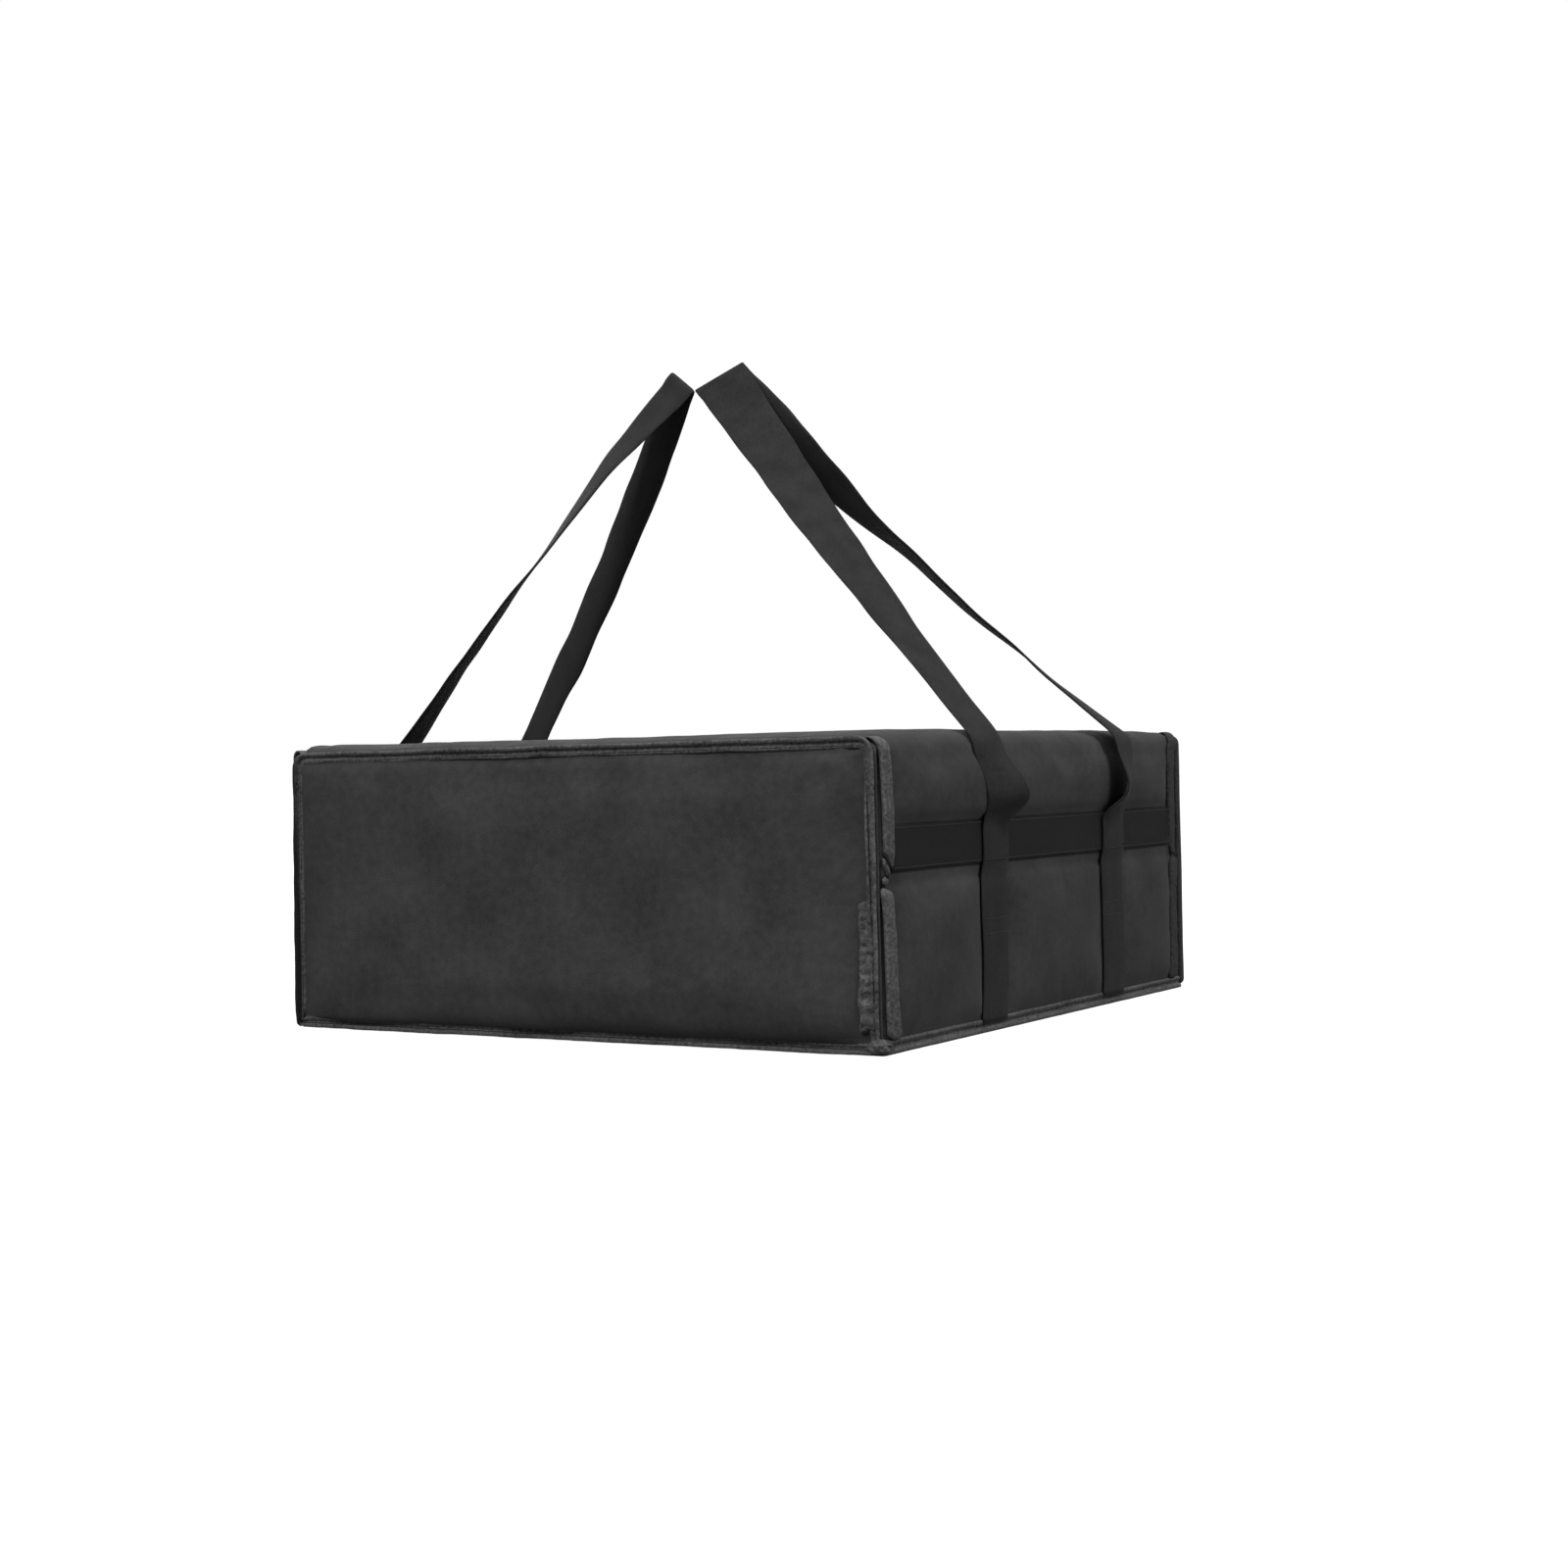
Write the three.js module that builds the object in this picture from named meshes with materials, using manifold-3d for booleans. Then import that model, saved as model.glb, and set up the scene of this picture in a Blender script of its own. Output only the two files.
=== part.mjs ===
// Insulated pizza delivery bag: a box of thin non-woven fabric over foam boards, lined with foil,
// with a front flap on a hook-and-loop closure and two webbing carry handles.
// Millimetres, +Z up. The origin is the middle of the base. The plain end is at -Y, the front
// flap at +Y and the two handle walls at +X (right) and -X (left).

import * as THREE from "three";
import { mergeVertices } from "three/addons/utils/BufferGeometryUtils.js";
import Module from "manifold-3d";

const wasm = await Module();
wasm.setup();

// Overall size of the closed bag, over its bindings
const bagWidth = 500;
const bagDepth = 500;
const bagHeight = 205;

// Layers of the walls
const fabricThickness = 1.2;
const wallFoamThickness = 6;
const flapFoamThickness = 5;
const foilThickness = 0.8;
const baseBoardThickness = 3;
const seatGap = 0.3;

// Rounded corners of the two ends
const topCornerRadius = 12;
const baseCornerRadius = 4;
const cornerSteps = 6;

// Bound seams
const endBindingWidth = 7;
const endBindingThickness = 3;
const flapBindingWidth = 8;
const flapBindingThickness = 2;
const cornerBindingWidth = 16;
const cornerBindingThickness = 2.4;
const cornerBindingRadius = 5;
const seamBindingHeight = 10;
const seamBindingThickness = 2.4;
const lipBindingHeight = 2.4;

// Fold line at half height of the handle walls, where the boards part and the fabric dips
const creaseHeight = 109;
const creaseDepth = 2.2;
const creaseHalfHeight = 4;
const boardCreaseClearance = 1.5;
const bindingNotchHalfHeight = 6;

// Low fixed lip across the foot of the mouth, and its hook-and-loop closure
const lipHeight = 46;
const flapFootClearance = 3;
const flapBoardInset = 3;
const loopStripInset = 45;
const loopStripHeight = 29;
const loopStripFootHeight = 12;
const hookStripLength = 100;
const hookStripHeight = 25;
const hookStripInset = 15;
const hookStripThickness = 1.2;
const loopStripThickness = 1.2;

// Webbing: a band round each handle wall, straps up the wall and the two carry loops
const webbingWidth = 38;
const webbingThickness = 2;
const bandWidth = 30;
const bandThickness = 1.6;
const bandCreaseClearance = 8;
const rearStrapOffset = -88;
const frontStrapOffset = 110;
const strapDipDepth = 1;
const strapRunOnLength = 1.5;
const slackBulgeDepth = 5;
const slackSteps = 8;

// Hinge line of the carry loops, where the webbing leaves the wall near the top edge
const hingeDropHeight = 2;
const rightRearRootOffset = -100;
const rightFrontRootOffset = 111;
const leftRearRootOffset = -106;
const leftFrontRootOffset = 66;

// Grip: the two loops are pulled together here, each folded over a ridge
const gripHeight = 471;
const gripOffset = -71;
const gripHalfGap = 0.8;
const ridgeLengthX = 32;
const ridgeLengthY = 17.5;
const ridgeHeight = 20;
const ridgeBendLength = 9;
const rearLegSagDepth = 3;
const frontLegSagDepth = 12;
const legSteps = 14;
const ridgeSteps = 5;

// One overrun serves every cut
const cutOverrunLength = 5;

const halfWidth = bagWidth / 2;
const halfDepth = bagDepth / 2;
const bandBottomHeight = creaseHeight + bandCreaseClearance;

const coverMaterial = { color: 0x353535, roughness: 0.92, metalness: 0 };
const bindingMaterial = { color: 0x444444, roughness: 0.85, metalness: 0 };
const webbingMaterial = { color: 0x242424, roughness: 0.8, metalness: 0 };
const foamMaterial = { color: 0xe8e8e4, roughness: 0.9, metalness: 0 };
const foilMaterial = { color: 0xc8ccd0, roughness: 0.3, metalness: 0.9 };
const boardMaterial = { color: 0x2a2a2c, roughness: 0.6, metalness: 0 };
const closureMaterial = { color: 0x1c1c1c, roughness: 0.95, metalness: 0 };

const bag = new THREE.Group();

function addPiece(name, geometry, material) {
  const mesh = new THREE.Mesh(geometry, new THREE.MeshStandardMaterial(material));
  mesh.name = name;
  bag.add(mesh);
}

// Lays layers one behind another from a start, with a seat gap between them
function stackLayers(start, direction, thicknesses) {
  let near = start;
  return thicknesses.map((thickness) => {
    const faces = [near, near + direction * thickness];
    near = faces[1] + direction * seatGap;
    return faces.sort((low, high) => low - high);
  });
}

const [endBindingY, endCoverY, endFoamY, endLinerY] = stackLayers(-halfDepth, 1, [
  endBindingThickness,
  fabricThickness,
  wallFoamThickness,
  foilThickness,
]);

const [
  flapBindingY,
  flapCoverY,
  flapFoamY,
  flapLinerY,
  hookStripY,
  loopStripY,
  lipCoverY,
  lipFoamY,
  lipLinerY,
] = stackLayers(halfDepth, -1, [
  flapBindingThickness,
  fabricThickness,
  flapFoamThickness,
  foilThickness,
  hookStripThickness,
  loopStripThickness,
  fabricThickness,
  flapFoamThickness,
  foilThickness,
]);

const [, wallFoamX, wallLinerX] = stackLayers(halfWidth, -1, [
  fabricThickness,
  wallFoamThickness,
  foilThickness,
]);

const [topCoverZ, topFoamZ, topLinerZ] = stackLayers(bagHeight, -1, [
  fabricThickness,
  wallFoamThickness,
  foilThickness,
]);

const [baseCoverZ, baseBoardZ, baseFoamZ, baseLinerZ] = stackLayers(0, 1, [
  fabricThickness,
  baseBoardThickness,
  wallFoamThickness,
  foilThickness,
]);

const bodyRear = endFoamY[0];
const mouthPlane = lipCoverY[1];
const wallFoot = baseCoverZ[1] + seatGap;
const insideHalfWidth = wallFoamX[0] - seatGap;
const linedHalfWidth = wallLinerX[0] - seatGap;
const linerFoot = baseFoamZ[1] + seatGap;
const flapTop = topCoverZ[0] - seatGap;

// A flat board or sheet between two corners
function slab(rangeX, rangeY, rangeZ) {
  const middle = (range) => (range[0] + range[1]) / 2;
  const geometry = new THREE.BoxGeometry(
    rangeX[1] - rangeX[0],
    rangeY[1] - rangeY[0],
    rangeZ[1] - rangeZ[0],
  );
  return geometry.translate(middle(rangeX), middle(rangeY), middle(rangeZ));
}

const acrossX = (reach) => [-reach, reach];

// Extrudes an outline drawn in X and Z along Y
function alongY(shape, rangeY) {
  const settings = { depth: rangeY[1] - rangeY[0], bevelEnabled: false, curveSegments: cornerSteps };
  const geometry = new THREE.ExtrudeGeometry(shape, settings);
  return geometry.rotateX(Math.PI / 2).translate(0, rangeY[1], 0);
}

// Extrudes an outline drawn in Y and Z along X
function alongX(shape, rangeX) {
  const settings = { depth: rangeX[1] - rangeX[0], bevelEnabled: false, curveSegments: cornerSteps };
  const geometry = new THREE.ExtrudeGeometry(shape, settings);
  return geometry.rotateY(Math.PI / 2).rotateX(Math.PI / 2).translate(rangeX[0], 0, 0);
}

// Traces a rectangle with its own radius at the top and the foot, counterclockwise from the foot
function roundedPath(path, halfSpan, foot, top, footRadius, topRadius) {
  path.moveTo(-halfSpan + footRadius, foot);
  path.lineTo(halfSpan - footRadius, foot);
  path.absarc(halfSpan - footRadius, foot + footRadius, footRadius, -Math.PI / 2, 0);
  path.lineTo(halfSpan, top - topRadius);
  path.absarc(halfSpan - topRadius, top - topRadius, topRadius, 0, Math.PI / 2);
  path.lineTo(-halfSpan + topRadius, top);
  path.absarc(-halfSpan + topRadius, top - topRadius, topRadius, Math.PI / 2, Math.PI);
  path.lineTo(-halfSpan, foot + footRadius);
  path.absarc(-halfSpan + footRadius, foot + footRadius, footRadius, Math.PI, Math.PI * 1.5);
  return path;
}

// Turns a closed geometry into a solid that can be cut
function toSolid(geometry) {
  const bare = geometry.clone();
  bare.deleteAttribute("normal");
  bare.deleteAttribute("uv");
  const merged = mergeVertices(bare);
  return new wasm.Manifold(
    new wasm.Mesh({
      numProp: 3,
      vertProperties: new Float32Array(merged.attributes.position.array),
      triVerts: new Uint32Array(merged.index.array),
    }),
  );
}

function fromSolid(solid) {
  const mesh = solid.getMesh();
  const geometry = new THREE.BufferGeometry();
  geometry.setAttribute("position", new THREE.BufferAttribute(mesh.vertProperties, 3));
  geometry.setIndex(new THREE.BufferAttribute(mesh.triVerts, 1));
  return geometry;
}

// One side of an arch outline, from its foot up the wall and round the top corner to the middle
function archSide(side, reach, top, foot, radius, dip) {
  const points = [new THREE.Vector2(side * reach, foot)];
  if (dip > 0) {
    points.push(new THREE.Vector2(side * reach, creaseHeight - creaseHalfHeight));
    points.push(new THREE.Vector2(side * (reach - dip), creaseHeight));
    points.push(new THREE.Vector2(side * reach, creaseHeight + creaseHalfHeight));
  }
  for (let step = 0; step <= cornerSteps; step += 1) {
    const angle = (step / cornerSteps) * (Math.PI / 2);
    const x = reach - radius + radius * Math.cos(angle);
    points.push(new THREE.Vector2(side * x, top - radius + radius * Math.sin(angle)));
  }
  return points;
}

// An arch of even thickness: walls and top in one sheet
function archShape(reach, top, foot, radius, thickness, dip) {
  const outer = [
    ...archSide(1, reach, top, foot, radius, dip),
    ...archSide(-1, reach, top, foot, radius, dip).reverse(),
  ];
  const innerRadius = radius - thickness;
  const inner = [
    ...archSide(1, reach - thickness, top - thickness, foot, innerRadius, dip),
    ...archSide(-1, reach - thickness, top - thickness, foot, innerRadius, dip).reverse(),
  ];
  return new THREE.Shape([...outer, ...inner.reverse()]);
}

// Outer fabric that runs up one handle wall, over the top and down the other. In front it ends
// at the mouth, and its top runs on as a strip over the flap's upper edge, which is the hinge.
function addWrap() {
  const shape = archShape(halfWidth, bagHeight, wallFoot, topCornerRadius, fabricThickness, creaseDepth);
  const sheet = toSolid(alongY(shape, [bodyRear, halfDepth - seatGap]));
  const underStrip = slab(
    acrossX(halfWidth + cutOverrunLength),
    [mouthPlane, halfDepth + cutOverrunLength],
    [-cutOverrunLength, topCoverZ[0]],
  );
  addPiece("wrap_cover", fromSolid(sheet.subtract(toSolid(underStrip))), coverMaterial);
}

function addOuterFabric() {
  const endOutline = roundedPath(
    new THREE.Shape(),
    halfWidth,
    seatGap,
    bagHeight,
    baseCornerRadius,
    topCornerRadius,
  );
  addPiece("end_cover", alongY(endOutline, endCoverY), coverMaterial);
  const base = slab(acrossX(halfWidth), [bodyRear, mouthPlane], baseCoverZ);
  addPiece("bottom_cover", base, coverMaterial);
  const lip = slab(acrossX(linedHalfWidth), lipCoverY, [wallFoot, lipHeight]);
  addPiece("lip_cover", lip, coverMaterial);
}

// Foam boards. Each handle wall has two, parted at the fold line.
function addBoards() {
  const wallRun = [bodyRear, mouthPlane];
  const topReach = halfWidth - topCornerRadius;
  addPiece("top_foam", slab(acrossX(topReach), wallRun, topFoamZ), foamMaterial);
  const floorRun = [endFoamY[1] + seatGap, lipFoamY[0] - seatGap];
  addPiece("bottom_foam", slab(acrossX(insideHalfWidth), floorRun, baseFoamZ), foamMaterial);
  addPiece("base_board", slab(acrossX(insideHalfWidth), floorRun, baseBoardZ), boardMaterial);
  const endRise = [wallFoot, topFoamZ[0] - seatGap];
  addPiece("end_foam", slab(acrossX(insideHalfWidth), endFoamY, endRise), foamMaterial);
  const lipRise = [wallFoot, lipHeight];
  addPiece("lip_foam", slab(acrossX(linedHalfWidth), lipFoamY, lipRise), foamMaterial);
  const creaseReach = creaseHalfHeight + boardCreaseClearance;
  const lowerRise = [wallFoot, creaseHeight - creaseReach];
  const upperRise = [creaseHeight + creaseReach, bagHeight - topCornerRadius];
  for (const [wall, side] of [["right", 1], ["left", -1]]) {
    const rangeX = side > 0 ? wallFoamX : [-wallFoamX[1], -wallFoamX[0]];
    addPiece(`${wall}_foam_lower`, slab(rangeX, wallRun, lowerRise), foamMaterial);
    addPiece(`${wall}_foam_upper`, slab(rangeX, wallRun, upperRise), foamMaterial);
  }
}

// Foil lining of the walls and top in one sheet, and of the floor, the end and the lip
function addLining() {
  const liningRun = [endLinerY[1] + seatGap, mouthPlane];
  const corner = baseCornerRadius;
  const arch = archShape(wallLinerX[1], topLinerZ[1], linerFoot, corner, foilThickness, 0);
  addPiece("wrap_liner", alongY(arch, liningRun), foilMaterial);
  const floorRun = [liningRun[0], lipLinerY[0] - seatGap];
  addPiece("bottom_liner", slab(acrossX(linedHalfWidth), floorRun, baseLinerZ), foilMaterial);
  const endRise = [linerFoot, topLinerZ[1]];
  addPiece("end_liner", slab(acrossX(insideHalfWidth), endLinerY, endRise), foilMaterial);
  const lipRise = [linerFoot, lipHeight];
  addPiece("lip_liner", slab(acrossX(linedHalfWidth), lipLinerY, lipRise), foilMaterial);
}

// Raised bound seam right round the plain end
function addEndBinding() {
  const ring = roundedPath(
    new THREE.Shape(),
    halfWidth,
    seatGap,
    bagHeight,
    baseCornerRadius,
    topCornerRadius,
  );
  const window = roundedPath(
    new THREE.Path(),
    halfWidth - endBindingWidth,
    seatGap + endBindingWidth,
    bagHeight - endBindingWidth,
    baseCornerRadius,
    topCornerRadius - endBindingWidth / 2,
  );
  ring.holes.push(window);
  addPiece("end_binding", alongY(ring, endBindingY), bindingMaterial);
}

// Bound edge of the mouth, up one wall, across the top and down the other
function addMouthBinding() {
  const width = halfWidth - wallLinerX[0];
  const arch = archShape(halfWidth, flapTop, wallFoot, topCornerRadius, width, 0);
  const run = [mouthPlane + seatGap, flapLinerY[0] - seatGap];
  addPiece("mouth_binding", alongY(arch, run), bindingMaterial);
}

// A strip of binding that is flat on one long side and rounded on the other
function bindingProfile(back, front, foot, top, side) {
  const outline = new THREE.Shape();
  outline.moveTo(side * back, foot);
  outline.lineTo(side * (back + (front - back) / 2), foot);
  outline.quadraticCurveTo(side * front, foot, side * front, (foot + top) / 2);
  outline.quadraticCurveTo(side * front, top, side * (back + (front - back) / 2), top);
  outline.lineTo(side * back, top);
  return outline;
}

// Bindings along the foot of each handle wall and up its four upright edges, parted at the fold
function addWallBindings(wall, side) {
  const back = halfWidth + seatGap;
  const front = back + seamBindingThickness;
  const foot = bindingProfile(back, front, seatGap, seamBindingHeight, side);
  addPiece(`${wall}_seam_binding`, alongY(foot, [bodyRear, mouthPlane]), bindingMaterial);
  const uprights = [
    ["rear", bodyRear + cornerBindingWidth / 2],
    ["front", mouthPlane - cornerBindingWidth / 2],
  ];
  const lengths = [
    ["lower", seamBindingHeight + seatGap, creaseHeight - bindingNotchHalfHeight],
    ["upper", creaseHeight + bindingNotchHalfHeight, bagHeight - topCornerRadius],
  ];
  const rangeX = side > 0
    ? [back, back + cornerBindingThickness]
    : [-back - cornerBindingThickness, -back];
  for (const [place, middle] of uprights) {
    for (const [part, low, high] of lengths) {
      const radius = cornerBindingRadius;
      const outline = roundedPath(new THREE.Shape(), cornerBindingWidth / 2, low, high, radius, radius);
      const strip = alongX(outline, rangeX).translate(0, middle, 0);
      addPiece(`${wall}_${place}_binding_${part}`, strip, bindingMaterial);
    }
  }
}

// Rounded binding over the upper edge of the lip
function addLipBinding() {
  const outline = new THREE.Shape();
  const foot = lipHeight + seatGap;
  const [rear, front] = [lipLinerY[0], lipCoverY[1]];
  outline.moveTo(rear, foot);
  outline.lineTo(front, foot);
  outline.quadraticCurveTo(front, foot + lipBindingHeight, (rear + front) / 2, foot + lipBindingHeight);
  outline.quadraticCurveTo(rear, foot + lipBindingHeight, rear, foot);
  addPiece("lip_binding", alongX(outline, acrossX(linedHalfWidth)), bindingMaterial);
}

// The flap: cover, board, lining, bound free edges and hook strips that meet the lip's loop strip
function addFlap() {
  const outline = (inset) => roundedPath(
    new THREE.Shape(),
    halfWidth - inset,
    flapFootClearance + inset,
    flapTop - inset,
    baseCornerRadius,
    topCornerRadius,
  );
  addPiece("flap_cover", alongY(outline(0), flapCoverY), coverMaterial);
  const boardRise = [flapFootClearance + flapBindingWidth, flapTop - flapBoardInset];
  const boardReach = halfWidth - flapBindingWidth;
  addPiece("flap_foam", slab(acrossX(boardReach), flapFoamY, boardRise), foamMaterial);
  addPiece("flap_liner", alongY(outline(flapBoardInset), flapLinerY), foilMaterial);
  const edge = outline(0);
  edge.holes.push(
    roundedPath(
      new THREE.Path(),
      halfWidth - flapBindingWidth,
      flapFootClearance + flapBindingWidth,
      flapTop - flapBindingWidth,
      baseCornerRadius,
      topCornerRadius - flapBindingWidth / 2,
    ),
  );
  const ring = toSolid(alongY(edge, flapBindingY));
  const hingeSide = slab(
    acrossX(halfWidth + cutOverrunLength),
    [flapBindingY[0] - cutOverrunLength, flapBindingY[1] + cutOverrunLength],
    [flapTop - topCornerRadius, flapTop + cutOverrunLength],
  );
  addPiece("flap_binding", fromSolid(ring.subtract(toSolid(hingeSide))), bindingMaterial);
  const hookFoot = loopStripFootHeight + (loopStripHeight - hookStripHeight) / 2;
  const loopReach = halfWidth - loopStripInset;
  for (const [place, side] of [["right", 1], ["left", -1]]) {
    const middle = side * (loopReach - hookStripInset - hookStripLength / 2);
    const rangeX = [middle - hookStripLength / 2, middle + hookStripLength / 2];
    const strip = slab(rangeX, hookStripY, [hookFoot, hookFoot + hookStripHeight]);
    addPiece(`${place}_hook_strip`, strip, closureMaterial);
  }
  const loopRise = [loopStripFootHeight, loopStripFootHeight + loopStripHeight];
  addPiece("loop_strip", slab(acrossX(loopReach), loopStripY, loopRise), closureMaterial);
}

// A webbing ribbon through cross-sections. Each has a centre, half of its width as a vector,
// and the direction of its thickness, and the ribbon may bend and twist between them.
function webbingRibbon(sections) {
  const positions = [];
  const half = webbingThickness / 2;
  for (const { centre, halfWidthVector, normal } of sections) {
    for (const [across, through] of [[-1, -1], [1, -1], [1, 1], [-1, 1]]) {
      const corner = centre.clone();
      corner.addScaledVector(halfWidthVector, across);
      corner.addScaledVector(normal, through * half);
      positions.push(corner.x, corner.y, corner.z);
    }
  }
  const faces = [];
  const addQuad = (a, b, c, d) => faces.push(a, b, c, a, c, d);
  const corners = 4;
  for (let ring = 0; ring < sections.length - 1; ring += 1) {
    for (let corner = 0; corner < corners; corner += 1) {
      const next = (corner + 1) % corners;
      const [here, ahead] = [ring * corners, (ring + 1) * corners];
      addQuad(here + corner, here + next, ahead + next, ahead + corner);
    }
  }
  const last = (sections.length - 1) * corners;
  addQuad(3, 2, 1, 0);
  addQuad(last, last + 1, last + 2, last + 3);
  const geometry = new THREE.BufferGeometry();
  geometry.setAttribute("position", new THREE.BufferAttribute(new Float32Array(positions), 3));
  geometry.setIndex(faces);
  return geometry;
}

// Gives each point of a path its section, square to the path and to the width
function sectionsAlong(points, widths) {
  return points.map((centre, index) => {
    const before = points[Math.max(index - 1, 0)];
    const after = points[Math.min(index + 1, points.length - 1)];
    const tangent = after.clone().sub(before).normalize();
    const normal = tangent.clone().cross(widths[index]).normalize();
    return { centre, halfWidthVector: widths[index], normal };
  });
}

const hingeZ = bagHeight - hingeDropHeight;
const strapTopOffset = seatGap + webbingThickness / 2 + bandThickness + seatGap;
const hingeOffset = strapTopOffset + webbingThickness + seatGap;
const hingeX = halfWidth + hingeOffset;

// Fixed length of a strap: up the wall, in at the fold, over the band and slack to the hinge
function addWallStrap(name, side, lowerY, rootY) {
  const onWall = seatGap + webbingThickness / 2;
  const onBand = onWall + bandThickness + seatGap;
  const bandTop = bandBottomHeight + bandWidth;
  const strapTop = hingeZ - webbingThickness / 2;
  const place = (offset, y, z) => new THREE.Vector3(side * (halfWidth + offset), y, z);
  const points = [
    place(onWall, lowerY, seamBindingHeight + seatGap),
    place(onWall, lowerY, creaseHeight - creaseHalfHeight - strapRunOnLength),
    place(onWall - strapDipDepth, lowerY, creaseHeight),
    place(onBand, lowerY, bandBottomHeight - strapRunOnLength),
    place(onBand, lowerY, bandTop + strapRunOnLength),
  ];
  const slackFoot = bandTop + strapRunOnLength;
  for (let step = 1; step <= slackSteps; step += 1) {
    const share = step / slackSteps;
    const ease = share * share * (3 - 2 * share);
    const bulge = slackBulgeDepth * Math.sin(Math.PI * share) ** 2;
    const offset = THREE.MathUtils.lerp(onBand, strapTopOffset, share) + bulge;
    const z = THREE.MathUtils.lerp(slackFoot, strapTop, share);
    points.push(place(offset, THREE.MathUtils.lerp(lowerY, rootY, ease), z));
  }
  const flat = new THREE.Vector3(0, webbingWidth / 2, 0);
  const sections = sectionsAlong(points, points.map(() => flat));
  addPiece(name, webbingRibbon(sections), webbingMaterial);
}

// Points and widths of one leg of a loop, from its root on the hinge line to near the ridge.
// The width turns from along the wall to along the ridge.
function legRun(root, rootWidth, ridge, ridgeWidth, sag) {
  const points = [];
  const widths = [];
  const length = root.distanceTo(ridge);
  const lastShare = 1 - ridgeBendLength / length;
  for (let step = 0; step <= legSteps; step += 1) {
    const share = (step / legSteps) * lastShare;
    const point = root.clone().lerp(ridge, share);
    point.z -= 4 * sag * share * (1 - share);
    points.push(point);
    const reach = THREE.MathUtils.lerp(rootWidth.length(), ridgeWidth.length(), share);
    widths.push(rootWidth.clone().lerp(ridgeWidth, share).setLength(reach));
  }
  return { points, widths };
}

// A carry loop: rear leg up to the ridge, a tight fold over it and the front leg down again
function addLoop(name, side, rearRootY, frontRootY) {
  const ridgeWidth = new THREE.Vector3(side * ridgeLengthX, ridgeLengthY, ridgeHeight).divideScalar(2);
  const ridgeInner = new THREE.Vector3(side * gripHalfGap, gripOffset, gripHeight);
  const ridge = ridgeInner.clone().add(ridgeWidth);
  const rearRoot = new THREE.Vector3(side * hingeX, rearRootY, hingeZ);
  const frontRoot = new THREE.Vector3(side * hingeX, frontRootY, hingeZ);
  const flat = new THREE.Vector3(0, webbingWidth / 2, 0);
  const rear = legRun(rearRoot, flat, ridge, ridgeWidth, rearLegSagDepth);
  const front = legRun(frontRoot, flat.clone().negate(), ridge, ridgeWidth, frontLegSagDepth);
  const [bendStart, bendEnd] = [rear.points.at(-1), front.points.at(-1)];
  const bendPeak = ridge.clone().multiplyScalar(2).sub(bendStart.clone().lerp(bendEnd, 1 / 2));
  const bend = new THREE.QuadraticBezierCurve3(bendStart, bendPeak, bendEnd);
  const points = [...rear.points];
  const widths = [...rear.widths];
  for (let step = 1; step < ridgeSteps; step += 1) {
    const share = step / ridgeSteps;
    points.push(bend.getPoint(share));
    widths.push(ridgeWidth.clone());
  }
  points.push(...front.points.reverse());
  widths.push(...front.widths.reverse());
  addPiece(name, webbingRibbon(sectionsAlong(points, widths)), webbingMaterial);
}

function addBand(wall, side) {
  const back = halfWidth + seatGap;
  const rangeX = side > 0 ? [back, back + bandThickness] : [-back - bandThickness, -back];
  const inset = cornerBindingWidth + seatGap;
  const run = [bodyRear + inset, mouthPlane - inset];
  const rise = [bandBottomHeight, bandBottomHeight + bandWidth];
  addPiece(`${wall}_band`, slab(rangeX, run, rise), webbingMaterial);
}

addWrap();
addOuterFabric();
addBoards();
addLining();
addEndBinding();
addMouthBinding();
addLipBinding();
addFlap();
for (const [wall, side] of [["right", 1], ["left", -1]]) {
  addWallBindings(wall, side);
  addBand(wall, side);
}
addWallStrap("right_rear_strap", 1, rearStrapOffset, rightRearRootOffset);
addWallStrap("right_front_strap", 1, frontStrapOffset, rightFrontRootOffset);
addWallStrap("left_rear_strap", -1, rearStrapOffset, leftRearRootOffset);
addWallStrap("left_front_strap", -1, frontStrapOffset, leftFrontRootOffset);
addLoop("right_handle", 1, rightRearRootOffset, rightFrontRootOffset);
addLoop("left_handle", -1, leftRearRootOffset, leftFrontRootOffset);

export default bag;
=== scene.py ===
import math

import bmesh
import bpy
from mathutils import Matrix, Vector, noise


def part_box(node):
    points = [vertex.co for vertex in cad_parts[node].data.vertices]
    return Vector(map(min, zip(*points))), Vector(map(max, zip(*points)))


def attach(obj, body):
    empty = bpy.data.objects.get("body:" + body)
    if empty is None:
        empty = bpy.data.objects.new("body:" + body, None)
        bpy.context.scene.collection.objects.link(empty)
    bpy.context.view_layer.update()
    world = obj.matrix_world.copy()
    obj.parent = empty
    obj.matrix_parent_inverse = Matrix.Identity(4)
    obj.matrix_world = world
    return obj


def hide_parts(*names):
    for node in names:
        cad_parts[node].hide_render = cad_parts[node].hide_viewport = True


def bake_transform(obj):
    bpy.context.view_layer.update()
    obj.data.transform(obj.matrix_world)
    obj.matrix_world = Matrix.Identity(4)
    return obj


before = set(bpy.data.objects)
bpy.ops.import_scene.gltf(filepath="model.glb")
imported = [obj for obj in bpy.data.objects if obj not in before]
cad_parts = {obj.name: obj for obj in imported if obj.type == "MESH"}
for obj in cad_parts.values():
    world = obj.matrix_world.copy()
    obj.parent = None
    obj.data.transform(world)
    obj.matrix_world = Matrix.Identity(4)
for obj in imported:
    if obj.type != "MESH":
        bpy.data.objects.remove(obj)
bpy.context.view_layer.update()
mm = 0.001
scene = bpy.context.scene
scene.view_settings.view_transform = "Standard"

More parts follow.
